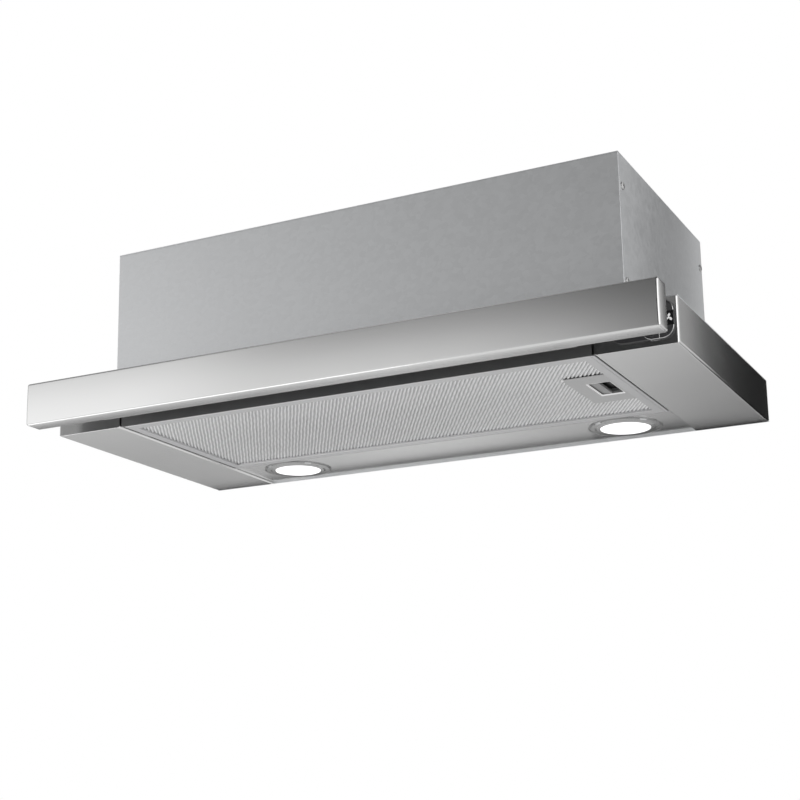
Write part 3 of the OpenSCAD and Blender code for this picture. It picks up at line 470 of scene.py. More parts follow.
def dress(node):
    """Gives a CAD node its finish as it is"""
    mesh = frame["nodes"][node].data
    mesh.materials.clear()
    mesh.materials.append(finishes[node_slots[node]])


def box_shape(low, high):
    shape = bmesh.new()
    bmesh.ops.create_cube(shape, size=1)
    size = Vector(high) - Vector(low)
    middle = (Vector(high) + Vector(low)) / 2
    place = Matrix.Translation(middle) @ Matrix.Diagonal(size.to_4d())
    bmesh.ops.transform(shape, matrix=place, verts=shape.verts)
    return shape


def join_loops(shape, loop, following):
    """Faces from one closed loop of corners to the next"""
    for place in range(len(loop)):
        after = (place + 1) % len(loop)
        shape.faces.new((loop[place], loop[after], following[after], following[place]))


def close_tube(shape, loops):
    """Faces along a row of loops and over both its ends"""
    for loop, following in zip(loops, loops[1:]):
        join_loops(shape, loop, following)
    shape.faces.new(loops[0])
    shape.faces.new(loops[-1][::-1])


def lathe(profile, steps, shape=None, matrix=Matrix.Identity(4)):
    """Turns a closed outline of radius and height about the Z axis, then places it"""
    shape = shape or bmesh.new()
    rings = []
    for radius, height in profile:
        ring = []
        if radius == 0:
            ring = [shape.verts.new(matrix @ Vector((0, 0, height)))] * steps
        else:
            for step in range(steps):
                turn = math.tau * step / steps
                point = Vector((radius * math.cos(turn), radius * math.sin(turn), height))
                ring.append(shape.verts.new(matrix @ point))
        rings.append(ring)
    for ring, following in zip(rings, rings[1:] + rings[:1]):
        for step in range(steps):
            after = (step + 1) % steps
            corners = [ring[step], ring[after], following[after], following[step]]
            corners = [corner for place, corner in enumerate(corners) if corner not in corners[:place]]
            if len(corners) > 2:
                shape.faces.new(corners)
    return shape


def islands(node):
    """The low and high corners of each separate solid of a CAD node"""
    shape = shape_of(frame["nodes"][node].data)
    bmesh.ops.remove_doubles(shape, verts=shape.verts, dist=WELD)
    left = set(shape.verts)
    found = []
    while left:
        stack = [left.pop()]
        points = []
        while stack:
            vertex = stack.pop()
            points.append(vertex.co.copy())
            for edge in vertex.link_edges:
                other = edge.other_vert(vertex)
                if other in left:
                    left.remove(other)
                    stack.append(other)
        low = Vector([min(point[axis] for point in points) for axis in range(3)])
        high = Vector([max(point[axis] for point in points) for axis in range(3)])
        found.append((low, high))
    shape.free()
    return sorted(found, key=lambda corners: tuple(corners[0]))


# The pull-out bar

BAR_FOLD = 2.0
FOLD_STEPS = 5
BAR_SHEET = 1.0
BAR_CROWN = 0.35
CROWN_STRIPS = 6


def bar():
    """The bar's steel skin: front, top, underside and ends folded from one sheet, open at the back"""
    low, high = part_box("bar_shell")
    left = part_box("bar_end_left")[0]
    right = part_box("bar_end_right")[1]
    shape = box_shape((left[0], low[1], low[2]), (right[0], high[1], high[2]))
    open_back = [face for face in shape.faces if face.normal.y > 0.5]
    bmesh.ops.delete(shape, geom=open_back, context="FACES_ONLY")
    folds = [edge for edge in shape.edges if not edge.is_boundary]
    bmesh.ops.bevel(
        shape, geom=folds, offset=BAR_FOLD * MM, segments=FOLD_STEPS, profile=0.5, affect="EDGES"
    )
    middle = (low[2] + high[2]) / 2
    half = (high[2] - low[2]) / 2 - BAR_FOLD * MM
    for share in range(1 - CROWN_STRIPS, CROWN_STRIPS):
        height = middle + half * share / CROWN_STRIPS
        cut_through = shape.verts[:] + shape.edges[:] + shape.faces[:]
        bmesh.ops.bisect_plane(shape, geom=cut_through, plane_co=(0, 0, height), plane_no=Z_AXIS)
    for vertex in shape.verts:
        from_front = min(max((vertex.co.y - low[1]) / (BAR_FOLD * MM), 0), 1)
        away = min(abs(vertex.co.z - middle) / half, 1)
        vertex.co.y += BAR_CROWN * MM * away * away * (1 - from_front)
    nodes = ("bar_shell", "bar_end_left", "bar_end_right")
    skin = add_piece("bar_skin", shape, "brushed_steel", "drawer", *nodes)
    wall = skin.modifiers.new("sheet", "SOLIDIFY")
    wall.thickness = BAR_SHEET * MM
    wall.offset = -1
    wall.use_even_offset = True
    even_faces(smooth(skin))
    refine("bar_carrier", FOLD_EDGE)


# The screws, by shares of their radius, length and height

HEAD_STEPS = 24
HEAD_HEIGHT = 0.75
HEAD_SHARE = 0.45
HEAD_RIM = 0.45
DOME_SHARES = (0.25, 0.5, 0.75)
DOME_FLAT = 0.02
CROSS_REACH = 0.55
CROSS_HALF = 0.14
CROSS_DEPTH = 0.55
STEM_STEPS = 16
STEM = 0.5

# The turn from one screw to the next, and how far behind the control plate its screws end
NEXT_TURN = 0.7
CONTROL_REACH = 5


def cross_head(radius, height):
    """A domed screw head with a cross recess, its flat side on the plane z = 0 and its dome along +Z"""
    rim = HEAD_RIM * height
    domed = [(0, 0), (radius, 0), (radius, rim)]
    for share in DOME_SHARES:
        turn = share * math.pi / 2
        out = radius * math.cos(turn) * (1 - DOME_FLAT) + radius * DOME_FLAT
        domed.append((out, rim + (height - rim) * math.sin(turn)))
    domed.append((0, height))
    head = finished_mesh("head", lathe(domed, HEAD_STEPS))
    reach = CROSS_REACH * radius
    half = CROSS_HALF * radius
    for turn in (0, math.pi / 2):
        arm = box_shape((-reach, -half, height * (1 - CROSS_DEPTH)), (reach, half, 2 * height))
        arm.transform(Matrix.Rotation(turn, 4, "Z"))
        head = cut(head, arm)
    return head


def cut(mesh, cutter_shape):
    """Takes a cutter's shape out of a mesh"""
    cutter_mesh = finished_mesh("cutter", cutter_shape)
    work = put_in_scene("work", mesh)
    cutter = put_in_scene("cutter", cutter_mesh)
    taken = work.modifiers.new("cut", "BOOLEAN")
    taken.operation = "DIFFERENCE"
    taken.solver = "EXACT"
    taken.object = cutter
    ready = work.evaluated_get(bpy.context.evaluated_depsgraph_get())
    result = bpy.data.meshes.new_from_object(ready)
    bpy.data.objects.remove(work)
    bpy.data.objects.remove(cutter)
    bpy.data.meshes.remove(cutter_mesh)
    return result


def stamp(shape, mesh, matrix):
    """Adds a mesh to a shape at a place"""
    before = len(shape.verts)
    shape.from_mesh(mesh)
    shape.verts.ensure_lookup_table()
    bmesh.ops.transform(shape, matrix=matrix, verts=shape.verts[before:])


def pointing(place, direction, roll=0):
    """A matrix that puts +Z along a direction at a place"""
    turn = direction.to_track_quat("Z", "Y").to_matrix().to_4x4()
    return Matrix.Translation(place) @ turn @ Matrix.Rotation(roll, 4, "Z")


heads = {}


def screws(name, node, choose, direction, finish=None):
    """Cross-head screws where a CAD node has plain ones, each turned as it came to rest"""
    shape = bmesh.new()
    axis = max(range(3), key=lambda part: abs(direction[part]))
    across_axis = (axis + 1) % 3
    for number, (low, high) in enumerate(islands(node)):
        if not choose(low, high):
            continue
        middle = (low + high) / 2
        radius = (high[across_axis] - low[across_axis]) / 2
        length = high[axis] - low[axis]
        height = min(HEAD_HEIGHT * radius, HEAD_SHARE * length)
        size = (round(radius / MM, 2), round(height / MM, 2))
        if size not in heads:
            heads[size] = cross_head(radius, height)
        outer = middle + direction * (length / 2 - height)
        stamp(shape, heads[size], pointing(outer, direction, NEXT_TURN * number))
        inner = middle - direction * (length / 2)
        stem = [(0, 0), (STEM * radius, 0), (STEM * radius, length - height), (0, length - height)]
        lathe(stem, STEM_STEPS, shape, pointing(inner, direction))
    smooth(add_piece(name, shape, "zinc_steel", node_bodies[node], node, finish=finish))


def all_screws():
    """The drawer bar's screws, and those of the case: at the controls, round the collar and at the ends"""
    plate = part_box("control_plate")[1][1] + CONTROL_REACH * MM
    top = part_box("housing_top")[1][2]

    def on_housing(low, high):
        return 0 < low.z < high.z < top

    screws("bar_screw_heads", "bar_screws", lambda low, high: True, Y_AXIS)
    screws("control_screws", "case_screws", lambda low, high: high.y < plate, -Y_AXIS, "grey_plastic")
    screws("collar_screws", "case_screws", lambda low, high: high.z > top, Z_AXIS)
    screws("left_end_screws", "case_screws", lambda low, high: on_housing(low, high) and high.x < 0, -X_AXIS)
    screws("right_end_screws", "case_screws", lambda low, high: on_housing(low, high) and low.x > 0, X_AXIS)


# The drawer and its slides

DRAWER_NODES = ("drawer_front", "drawer_side_left", "drawer_side_right", "drawer_top", "drawer_back")
SLIDE_NODES = ("slide_outer_left", "slide_outer_right", "slide_mid_left", "slide_mid_right",
               "slide_inner_left", "slide_inner_right")
KEEPER_LAP = 0.15
KEEPER_WIDTH = 1.7
KEEPER_HEIGHT = 1.3
KEEPER_DROP = 0.2


def drawer():
    """The drawer's walls, its slides, and the rail on its right wall that keeps the filter's latch"""
    for node in DRAWER_NODES + SLIDE_NODES:
        refine(node)
    low, high = [Vector(corner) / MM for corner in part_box("drawer_side_right")]
    first = (low.x - KEEPER_LAP, low.y, low.z - KEEPER_DROP)
    last = (high.x + KEEPER_WIDTH, high.y, low.z + KEEPER_HEIGHT)
    keeper = box_shape([part * MM for part in first], [part * MM for part in last])
    round_edges(add_piece("latch_keeper", keeper, "filter_aluminium", "drawer"), KEEPER_EDGE)


# The canopy

def canopy():
    for node in ("side_box_left", "side_box_right"):
        refine(node, FOLD_EDGE, CLOSE_STEPS)
    for node in ("lamp_strip", "canopy_top"):
        refine(node)


# The grease filter

RIDGE = 3.1
RIDGE_TURN = math.radians(30.3)
RIDGE_SHEET = 0.3
RIDGE_STEPS = 8
ROW = 2.5
FRAME_COVER = 5
LIP_SHEET = 0.5
LIP_TOP = 1.9
LATCH_CASE = 3

# How far the ridges stray in millimetres, over what length, and how far each lags behind its neighbour
WANDERS = ((0.14, 7, 0.6), (0.1, 3.1, 1.9))
SWELL = 0.14
SWELL_LENGTH = 2.7
SWELL_LAG = 2.1


def slanted_sheet(x0, x1, y0, y1, foot):
    """One layer of sheet pressed into ridges that run askew over the opening and wander a little"""
    shape = bmesh.new()
    slant = math.tan(RIDGE_TURN)
    step = RIDGE * MM / math.cos(RIDGE_TURN) / RIDGE_STEPS
    first = x0 + min(y0 * slant, y1 * slant) - 2 * step
    columns = round((x1 + max(y0 * slant, y1 * slant) + 2 * step - first) / step)
    rows = round((y1 - y0) / (ROW * MM))
    grid = []
    for row in range(rows + 1):
        y = y0 + (y1 - y0) * row / rows
        line = []
        for column in range(columns + 1):
            ridge = column / RIDGE_STEPS
            wander = sum(far * math.sin(y / (length * MM) + lag * ridge) for far, length, lag in WANDERS)
            swell = 1 - SWELL + SWELL * math.sin(y / (SWELL_LENGTH * MM) + SWELL_LAG * round(ridge))
            level = MESH_DEPTH * (1 - swell * (1 + math.cos(math.tau * ridge)) / 2)
            x = first + column * step - y * slant + wander * MM
            line.append(shape.verts.new((x, y, foot + level * MM)))
        grid.append(line)
    for line, following in zip(grid, grid[1:]):
        for place in range(columns):
            shape.faces.new((line[place], following[place], following[place + 1], line[place + 1]))
    return shape


def slice_at(shape, point, normal, clear=False):
    """Cuts a sheet by a plane, and drops what lies beyond it where asked"""
    whole = shape.verts[:] + shape.edges[:] + shape.faces[:]
    bmesh.ops.bisect_plane(shape, geom=whole, plane_co=point, plane_no=normal, clear_outer=clear)


def grease_mesh():
    """Expanded aluminium pressed into ridges, cut away over the latch"""
    low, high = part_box("filter_mesh")
    latch_low, latch_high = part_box("latch_plate")
    case = LATCH_CASE * MM
    inset = FRAME_COVER * MM
    x0, y0, x1, y1 = low[0] + inset, low[1] + inset, high[0] - inset, high[1] - inset
    shape = slanted_sheet(x0, x1, y0, y1, MESH_CREST * MM)
    slice_at(shape, (x0, 0, 0), -X_AXIS, True)
    slice_at(shape, (x1, 0, 0), X_AXIS, True)
    left_of_latch = latch_low[0] + case
    in_front = latch_low[1] + case
    behind = latch_high[1] - case
    slice_at(shape, (left_of_latch, 0, 0), X_AXIS)
    slice_at(shape, (0, in_front, 0), Y_AXIS)
    slice_at(shape, (0, behind, 0), Y_AXIS)
    covered = []
    for face in shape.faces:
        middle = face.calc_center_median()
        if middle.x > left_of_latch and in_front < middle.y < behind:
            covered.append(face)
    bmesh.ops.delete(shape, geom=covered, context="FACES")
    mesh = add_piece(
        "ridged_mesh", shape, "filter_aluminium", "filter", "filter_mesh", finish="expanded_mesh"
    )
    smooth_faces(mesh)
    wall = mesh.modifiers.new("sheet", "SOLIDIFY")
    wall.thickness = RIDGE_SHEET * MM
    wall.offset = 0


def rim(name, low, high, section, finish=None):
    """A closed rim of the filter along a rectangle, its section by insets and heights in millimetres"""
    shape = bmesh.new()
    loops = []
    for inset, level in section:
        x0, y0 = low[0] + inset * MM, low[1] + inset * MM
        x1, y1 = high[0] - inset * MM, high[1] - inset * MM
        corners = ((x0, y0), (x1, y0), (x1, y1), (x0, y1))
        loops.append([shape.verts.new((x, y, level * MM)) for x, y in corners])
    for loop, following in zip(loops, loops[1:] + loops[:1]):
        join_loops(shape, loop, following)
    round_edges(add_piece(name, shape, "filter_aluminium", "filter", finish=finish), RIM_EDGE)


def frame_lip():
    """The turned-in edge of the frame's opening, down which the mesh is seen"""
    low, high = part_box("filter_mesh")
    foot = low[2] / MM
    outer, inner, top = FRAME_COVER - LIP_SHEET, FRAME_COVER, foot + LIP_TOP
    rim("frame_lip", low, high, [(outer, foot), (inner, foot), (inner, top), (outer, top)])


RECESS = ((194.2, -60.75), (215.0, -19.75))
SHADE_SHEET_TOP = -33.4
SHADE_SHEET_THICKNESS = 0.3

# Insets, and heights from the latch plate's face
RECESS_RIM = ((-0.3, 0.03), (-0.25, -0.08), (0, -0.1), (0.85, 0.95), (0.7, 1.05), (-0.05, 0.1))

# Radii and heights of the glowing dome at the plate's corner, a painted glint
GLINT_DOME = ((0, 0.4), (1.15, 0.4), (1.15, -0.15), (0.85, -0.36), (0.4, -0.46), (0, -0.48))
GLINT_DOME_STEPS = 20
GLINT_DOME_INSET = 0.5


def latch():
    """The latch plate with its finger recess and the slider; a glowing rim along the recess and a glowing
    dome at the plate's corner, painted highlights; and a black sheet in the recess, painted shade
    """
    refine("latch_plate", MOULD_EDGE, CLOSE_STEPS)
    refine("latch_slider", finish="latch_tab")
    low, high = [[part * MM for part in corner] for corner in RECESS]
    x, y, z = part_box("latch_plate")[0]
    section = [(inset, z / MM + level) for inset, level in RECESS_RIM]
    # The rim is finished in glowing white, a painted highlight along the recess's edges
    rim("latch_recess_rim", low, high, section, "white_print")
    # A black sheet across the top of the recess paints the shade inside it
    ceiling = SHADE_SHEET_TOP * MM
    shade_sheet = box_shape(low + [ceiling], high + [ceiling + SHADE_SHEET_THICKNESS * MM])
    round_edges(add_piece("latch_recess_shade_sheet", shade_sheet, "black_plastic", "filter"), SHADE_SHEET_EDGE)
    place = Matrix.Translation((x + GLINT_DOME_INSET * MM, y + GLINT_DOME_INSET * MM, z)) @ Matrix.Scale(MM, 4)
    glint_dome = lathe(GLINT_DOME, GLINT_DOME_STEPS, None, place)
    smooth(add_piece("latch_plate_glint_dome", glint_dome, "filter_aluminium", "filter", finish="white_print"))


def grease_filter():
    grease_mesh()
    frame_lip()
    refine("filter_frame", MOULD_EDGE, CLOSE_STEPS)
    latch()


# The lamps

LAMP_STEPS = 96
LUG_TURNS = (-43.2, -120.5)
LUG_SPAN = 12
LUG_TAPER = 0.7
SLOT_TURNS = (-164.6, 23)
SLOT_SPAN = 26
SLOT_STEPS = 12
CONE_RADIUS = 27.3

# Corners of the ring: the radius and the level that each is taken from, each with the distance from it
RING = (
    ("lens", 0.1, "strip", 0.6), ("lens", 0.1, "foot", 0.3), ("lens", 0.5, "foot", 0),
    ("cone", 0, "foot", 0.3), ("cone", 0.5, "foot", 0.75),
    ("outer", -1.6, "foot", 0.95), ("outer", -1.4, "foot", 1.2),
    ("outer", -1.4, "strip", -0.15), ("outer", -0.6, "strip", -0.15), ("outer", -0.6, "foot", 1.3),
    ("outer", -0.4, "foot", 1.15), ("outer", 0, "foot", 1.4), ("outer", 0, "strip", 0),
    ("hole", 0.1, "strip", 0), ("hole", 0.1, "back", 0), ("hole", 0, "back", 0), ("hole", 0, "strip", 0.6),
)

# Two corners across each lug and slot, in the same way
LUG = (("outer", -2.6, "foot", 0.02), ("outer", -0.1, "strip", -0.1))
SLOT = (("cone", -0.3, "foot", -1), ("cone", 0.9, "foot", 1.7))

# Corners of the lens: shares of its radius, and levels with the distance from them
LENS = (
    (0, "strip", 0.5), (0, "foot", 0.3), (0.6, "foot", 0.3),
    (0.93, "foot", 0.12), (1, "foot", 0.3), (1, "strip", 0.5),
)


def ring_sector(corners, middle, span, matrix, taper=0, steps=8):
    """A closed piece of a ring about Z; its lower face may be drawn in by a taper"""
    shape = bmesh.new()
    (inner, low), (outer, high) = corners
    outline = ((inner + taper, low), (outer - taper, low), (outer, high), (inner, high))
    sections = []
    for step in range(steps + 1):
        turn = math.radians(middle + span * (step / steps - 0.5))
        out = Vector((math.cos(turn), math.sin(turn), 0))
        points = [matrix @ (out * radius + Z_AXIS * level) for radius, level in outline]
        sections.append([shape.verts.new(point) for point in points])
    close_tube(shape, sections)
    return shape


def lamp(side):
    """One lamp: its stepped ring with two spring lugs and two slots, and its lit lens"""
    bezel_low, bezel_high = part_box("lamp_bezel_" + side)
    lens_low, lens_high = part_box("lamp_lens_" + side)
    body_low, body_high = islands("lamp_bodies")[1]
    middle = (Vector(bezel_low) + Vector(bezel_high)) / 2
    at = {
        "outer": (bezel_high[0] - bezel_low[0]) / 2 / MM,
        "lens": (lens_high[0] - lens_low[0]) / 2 / MM,
        "hole": (body_high[0] - body_low[0]) / 2 / MM,
        "cone": CONE_RADIUS,
        "foot": bezel_low[2] / MM,
        "back": bezel_high[2] / MM,
        "strip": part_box("lamp_strip")[0][2] / MM,
    }
    hub = Matrix.Translation((middle.x, middle.y, 0)) @ Matrix.Scale(MM, 4)

    def corners(table):
        return [(at[radius] + beyond, at[level] + above) for radius, beyond, level, above in table]

    turned = finished_mesh("turned", lathe(corners(RING), LAMP_STEPS, None, hub))
    for turn in SLOT_TURNS:
        turned = cut(turned, ring_sector(corners(SLOT), turn, SLOT_SPAN, hub, 0, SLOT_STEPS))
    ring = add_piece("lamp_ring_" + side, shape_of(turned), "lamp_metal", "hood", "lamp_bezel_" + side)
    even_faces(smooth(ring))
    for number, turn in enumerate(LUG_TURNS):
        lug = ring_sector(corners(LUG), turn, LUG_SPAN, hub, LUG_TAPER)
        round_edges(add_piece(f"lamp_lug_{side}_{number}", lug, "filter_aluminium", "hood"), LUG_EDGE)
    crown = [(at["lens"] * share, at[level] + above) for share, level, above in LENS]
    glass = lathe(crown, LAMP_STEPS, None, hub)
    smooth(add_piece("lamp_glass_" + side, glass, "lamp_lens", "hood", "lamp_lens_" + side))


# The controls

PLATE_CORNER = 9.5
PAD_WIDTH = 12.2
LOBE_WIDTH = 14.6
LINE_INSET = 0.35
LINE = 0.3
LINE_GAP = 0.3
BEAD_STEPS = 8
CORNER_TURNS = range(0, 91, 9)
PRINT = 0.06

# The fan sign: its blades by shares of its reach
ICON_PLACE = (291.9, -18.65)
ICON_REACH = 3.3
BLADES = 3
BLADE_STEPS = 20
BLADE_LEAN = 88
BLADE_MIDDLE = 0.58
BLADE_HALF_LENGTH = 0.42
BLADE_HALF_WIDTH = 0.3
BLADE_SWEEP = 0.28
BLADE_ASIDE = 0.1
HUB = 0.24
HUB_STEPS = 12

# The bulb sign
BULB_INSET = 1.6
BULB_RADIUS = 0.9
BULB_RISE = 0.6
BULB_STEPS = 20
CAP_ROWS = 2
CAP_DROP = 0.75
CAP_PITCH = 0.55
CAP_HALF = 0.45
CAP_HEIGHT = 0.35

# The grooves of a knob, and the margin beside them as a share of its width
KNOB_RIDGES = 4
GROOVE_HALF = 0.3
GROOVE_DEPTH = 0.5
GROOVE_MARGIN = 0.12


def highlight_bead(name, path, depth):
    """A fine round bead of bright metal along an open path on the front, given in millimetres, which paints
    an edge's highlight
    """
    points = [Vector((x * MM, depth * MM, z * MM)) for x, z in path]
    turns = [math.tau * step / BEAD_STEPS for step in range(BEAD_STEPS)]
    shape = bmesh.new()
    rings = []
    for before, point, after in zip(points[:1] + points, points, points[1:] + points[-1:]):
        aside = (after - before).normalized().cross(Y_AXIS)
        outs = [LINE * MM * (aside * math.cos(turn) + Y_AXIS * math.sin(turn)) for turn in turns]
        rings.append([shape.verts.new(point + out) for out in outs])
    close_tube(shape, rings)
    smooth(add_piece(name, shape, "lamp_metal", "hood", finish="brushed_steel"))


def corner_line(middle, reach, start):
    """The points of a quarter turn, in the plate's own plane"""
    turns = [math.radians(start + turn) for turn in CORNER_TURNS]
    return [(middle[0] + reach * math.cos(turn), middle[1] + reach * math.sin(turn)) for turn in turns]


def plate_rim():
    """The raised bright lines round the control plate and along the joint between its two parts, painted
    highlights of their edges
    """
    low, high = [Vector(corner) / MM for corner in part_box("control_plate")]
    window_low, window_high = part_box("control_window")
    foot_end = window_low[2] / MM - LINE_GAP
    top_end = window_high[2] / MM + LINE_GAP
    joint = high.x - PAD_WIDTH
    lobe = joint - LOBE_WIDTH
    reach = PLATE_CORNER - LINE_INSET
    lobe_left = (lobe + PLATE_CORNER, low.z + PLATE_CORNER)
    foot_right = (high.x - PLATE_CORNER, low.z + PLATE_CORNER)
    top_right = (high.x - PLATE_CORNER, high.z - PLATE_CORNER)
    top_left = (low.x + PLATE_CORNER, high.z - PLATE_CORNER)
    foot = corner_line(lobe_left, reach, 180) + corner_line(foot_right, reach, 270)
    foot = [(lobe + LINE_INSET, foot_end)] + foot + [(high.x - LINE_INSET, foot_end)]
    top = corner_line(top_right, reach, 0) + corner_line(top_left, reach, 90)
    top = [(high.x - LINE_INSET, top_end)] + top + [(low.x + LINE_INSET, top_end)]
    highlight_bead("control_plate_foot_line", foot, low.y)
    highlight_bead("control_plate_top_line", top, low.y)
    highlight_bead("control_plate_joint", [(joint, low.z + LINE_INSET), (joint, foot_end)], low.y)


def disc(middle, radius, steps):
    """The outline of a disc that faces forward, its radius in millimetres"""
    turns = [math.tau * step / steps for step in range(steps)]
    return [middle + radius * MM * Vector((math.cos(turn), 0, math.sin(turn))) for turn in turns]


def fan_symbol():
    """The usual three-bladed fan sign, printed on the window"""
    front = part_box("control_window")[0][1] - PRINT * MM
    shape = bmesh.new()
    middle = Vector((ICON_PLACE[0] * MM, front, ICON_PLACE[1] * MM))
    for blade in range(BLADES):
        lean = math.radians(BLADE_LEAN + 360 / BLADES * blade)
        along = Vector((math.cos(lean), 0, math.sin(lean)))
        beside = Vector((math.sin(lean), 0, -math.cos(lean)))
        outline = []
        for step in range(BLADE_STEPS):
            turn = math.tau * step / BLADE_STEPS
            out = BLADE_MIDDLE + BLADE_HALF_LENGTH * math.cos(turn)
            aside = BLADE_HALF_WIDTH * math.sin(turn) + BLADE_SWEEP * out - BLADE_ASIDE
            outline.append(middle + ICON_REACH * MM * (along * out + beside * aside))
        flat_piece(shape, outline)
    flat_piece(shape, disc(middle - Y_AXIS * PRINT * MM / 2, HUB * ICON_REACH, HUB_STEPS))
    add_piece("fan_symbol", shape, "black_gloss", "hood", finish="white_print")


def lamp_symbol():
    """A bulb sign: a round glass with its cap under it"""
    low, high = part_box("control_window")
    middle = Vector((low[0] + BULB_INSET * MM, low[1] - PRINT * MM, (low[2] + high[2]) / 2))
    shape = bmesh.new()
    flat_piece(shape, disc(middle + Z_AXIS * BULB_RISE * MM, BULB_RADIUS, BULB_STEPS))
    for row in range(CAP_ROWS):
        foot = -CAP_DROP - CAP_PITCH * row
        top = foot + CAP_HEIGHT
        corners = ((-CAP_HALF, foot), (CAP_HALF, foot), (CAP_HALF, top), (-CAP_HALF, top))
        flat_piece(shape, [middle + Vector((x, 0, z)) * MM for x, z in corners])
    add_piece("lamp_symbol", shape, "black_gloss", "hood", finish="white_print")


def flat_piece(shape, outline):
    """Adds a print's flat piece that faces forward, from its outline"""
    front = [shape.verts.new(point) for point in outline]
    back = [shape.verts.new(point + Y_AXIS * 2 * PRINT * MM) for point in outline]
    shape.faces.new(front)
    shape.faces.new(back[::-1])
    for place in range(len(outline)):
        after = (place + 1) % len(outline)
        shape.faces.new((front[place], back[place], back[after], front[after]))


def knob(node):
    """A slide knob with grip ridges across its face"""
    low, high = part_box(node)
    margin = GROOVE_MARGIN * (high[2] - low[2])
    pitch = (high[0] - low[0]) / (KNOB_RIDGES + 1)
    mesh = finished_mesh("knob", solid_copy(node))
    for number in range(KNOB_RIDGES):
        x = low[0] + pitch * (number + 1)
        groove = box_shape((x - GROOVE_HALF * MM, low[1] - MM, low[2] + margin),
                           (x + GROOVE_HALF * MM, low[1] + GROOVE_DEPTH * MM, high[2] - margin))
        mesh = cut(mesh, groove)
    piece = add_piece(node + "_gripped", shape_of(mesh), "black_plastic", node_bodies[node], node)
    round_edges(piece, KNOB_EDGE)


def controls():
    refine("control_plate")
    refine("control_window", WINDOW_EDGE)
    refine("switch_body", MOULD_EDGE)
    knob("light_knob")
    knob("fan_knob")
    plate_rim()
    fan_symbol()
    lamp_symbol()


# The blower housing, seen above the canopy

def housing():
    for node in ("housing_front", "housing_back", "housing_end_left", "housing_end_right", "housing_top",
                 "upper_filter_frame"):
        refine(node, FOLD_EDGE)
    for node in ("outlet_collar", "damper_flap_left", "damper_flap_right", "cable_gland", "terminal_box",
                 "capacitor", "lamp_driver"):
        refine(node)


bar()
drawer()
canopy()
grease_filter()
for side in ("left", "right"):
    lamp(side)
controls()
housing()
all_screws()


# Studio

WHITE = (1, 1, 1, 1)
BLACK = (0, 0, 0, 1)
ROOM_GREY = (0.55, 0.55, 0.55, 1)


def world():
    """A white studio for the camera, which polished metal sees graded in bands, in front and behind"""
    air = Finish(bpy.data.worlds.new("studio"), "ShaderNodeOutputWorld")
    bpy.context.scene.world = air.block
    way = air.node("ShaderNodeTexCoord", output="Generated")
    x, y, z = [0.5 + 0.5 * air.part(way, axis) for axis in "XYZ"]
    front = air.ramp(x, [
        (0.19, 0.8), (0.216, 0.68), (0.24, 0.88), (0.2675, 1), (0.297, 1), (0.33, 1),
        (0.345, 0.68), (0.358, 0.12), (0.38, 0.03), (0.6, 0.06), (0.72, 0.7), (1, 1),
    ])
    front_height = air.ramp(z, [(0.5, 1), (0.618, 1), (0.645, 0.78), (0.675, 0.42), (0.8, 0.36), (1, 0.7)])
    back = air.ramp(x, [
        (0.1, 0.2), (0.21, 0.22), (0.24, 0.32), (0.26, 0.5), (0.285, 0.7), (0.31, 0.66), (0.335, 0.46),
        (0.36, 0.34), (0.375, 0.2), (0.4, 0.1), (0.58, 0.05), (0.618, 0.1), (0.636, 0.6), (0.66, 0.8),
        (0.8, 0.85),
    ])
    behind = air.ramp(y, [(0.4, 0), (0.6, 1)])
    gloss = front * front_height * (1 - behind) + back * behind
    straight = air.node("ShaderNodeLightPath", output="Is Camera Ray")
    glossy = air.node("ShaderNodeLightPath", output="Is Glossy Ray")
    colour = air.mix(glossy, ROOM_GREY, air.mix(gloss, BLACK, WHITE))
    seen = air.mix(straight, colour, WHITE)
    air.surface(air.node("ShaderNodeBackground", None, {"Color": seen, "Strength": 1}))


def shade_card(name, low, high, rise=0, grey=0.008):
    """A card beside the hood that only polished surfaces see, which paints shade into their reflections; its
    lower edge may rise to the right
    """
    shape = box_shape(low, high)
    middle = (Vector(low) + Vector(high)) / 2
    for vert in shape.verts:
        if vert.co.x > middle.x and vert.co.z < middle.z:
            vert.co.z += rise
    sheet = put_in_scene(name, finished_mesh(name, shape))
    paint = start_finish(name)
    nap = paint.noise((2, 2, 2), 3)
    greys = (grey, grey, grey)
    paint.surface(paint.node("ShaderNodeBsdfPrincipled", None, {
        "Base Color": paint.mix(nap, shade(greys, 0.9), shade(greys, 1.1)),
        "Roughness": 1,
    }, "BSDF"))
    sheet.data.materials.append(paint.block)
    sheet.visible_camera = False
    sheet.visible_diffuse = False
    sheet.visible_shadow = False
    sheet.visible_transmission = False


def soft_box(name, place, aim, width, height, radiance):
    """A rectangular studio light of a given brightness, which the camera doesn't see"""
    lamp_data = bpy.data.lights.new(name, "AREA")
    lamp_data.shape = "RECTANGLE"
    lamp_data.size = width
    lamp_data.size_y = height
    lamp_data.energy = radiance * width * height * math.pi
    box = put_in_scene(name, lamp_data)
    box.location = place
    box.rotation_euler = (Vector(aim) - Vector(place)).to_track_quat("-Z", "Y").to_euler()
    box.visible_camera = False


FLOOR_LEVEL = -1.3
FLOOR_SIZE = 7.15


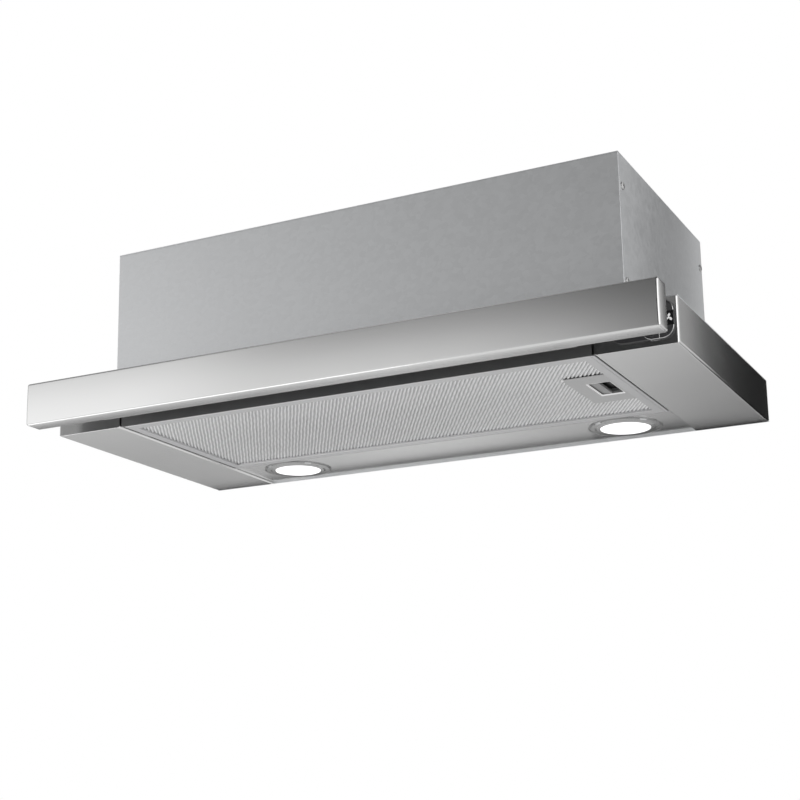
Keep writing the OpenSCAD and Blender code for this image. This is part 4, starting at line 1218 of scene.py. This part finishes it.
def floor():
    """Pale paper under the hood, which keeps its shadow and is bright where polished metal mirrors it"""
    shape = bmesh.new()
    bmesh.ops.create_grid(shape, x_segments=1, y_segments=1, size=FLOOR_SIZE / 2)
    sheet = put_in_scene("floor", finished_mesh("floor", shape))
    sheet.location = (0, 0, FLOOR_LEVEL)
    paper = start_finish("pale paper")
    fibre = paper.noise((3, 3, 3), 3)
    matt = paper.node("ShaderNodeBsdfPrincipled", None, {
        "Base Color": paper.mix(fibre, (0.84, 0.84, 0.84, 1), (0.88, 0.88, 0.88, 1)),
        "Roughness": 0.9,
    }, "BSDF")
    along = paper.part(paper.place(), "X")
    glow = paper.ramp(0.5 + along * MM / FLOOR_SIZE, [(0.2, 1), (0.7, 0.86)])
    bright = paper.node("ShaderNodeEmission", None, {"Color": glow, "Strength": 1}, "Emission")
    mirrored = paper.node("ShaderNodeLightPath", output="Is Glossy Ray")
    paper.surface(paper.node("ShaderNodeMixShader", None, {0: mirrored, 1: matt, 2: bright}, "Shader"))
    sheet.data.materials.append(paper.block)


# Fitted to the photograph: the lens by its focal length in pixels of an 800 pixel picture
SENSOR = 36
PICTURE = 800
FOCAL_PIXELS = 1622.6
CAMERA_PLACE = (0.63246, -1.32157, -0.41342)
CAMERA_TURN = (103.1265, 0.3967, 28.3690)
CAMERA_SHIFT = (0.08, 0.08)
CLIP_START = 0.02


def camera():
    lens = bpy.data.cameras.new("camera")
    lens.sensor_width = SENSOR
    lens.lens = FOCAL_PIXELS * SENSOR / PICTURE
    lens.shift_x, lens.shift_y = CAMERA_SHIFT
    lens.clip_start = CLIP_START
    eye = put_in_scene("camera", lens)
    eye.location = CAMERA_PLACE
    eye.rotation_euler = Euler([math.radians(turn) for turn in CAMERA_TURN])
    bpy.context.scene.camera = eye


world()
floor()
# Cards that paint shade into the reflections at the hood's rear, right side, underside and left end
shade_card("painted shade strip behind at the left", (-0.34, 0.166, -0.0518), (0.12, 0.168, -0.0405))
shade_card("painted shade strip behind at the right", (0.12, 0.166, -0.0545), (0.3, 0.168, -0.0405))
shade_card("painted shade sheet behind at the right", (0.305, 0.166, -0.2), (0.386, 0.168, 0.3), rise=0.09)
shade_card("painted shade strip under the bar", (-0.3, 0.166, -0.131), (0.1, 0.168, -0.117))
shade_card("painted shade sheet beyond the bar", (-0.36, -0.172, -0.0395), (-0.3, -0.171, 0.01), grey=0.8)
soft_box("key", (-1.45, -1.3, 0.3), (-0.2, -0.2, 0), width=1.1, height=1.3, radiance=0.55)
soft_box("under strip", (-0.6, -0.5, -0.62), (-0.6, -0.2, 0), width=0.8, height=0.3, radiance=1.6)
soft_box("edge light", (1.55, -1.15, 0.46), (0.3, -0.15, 0), width=1.7, height=0.9, radiance=1.25)
camera()
bpy.context.scene.view_settings.view_transform = "Standard"

for node in frame["nodes"]:
    dress(node)
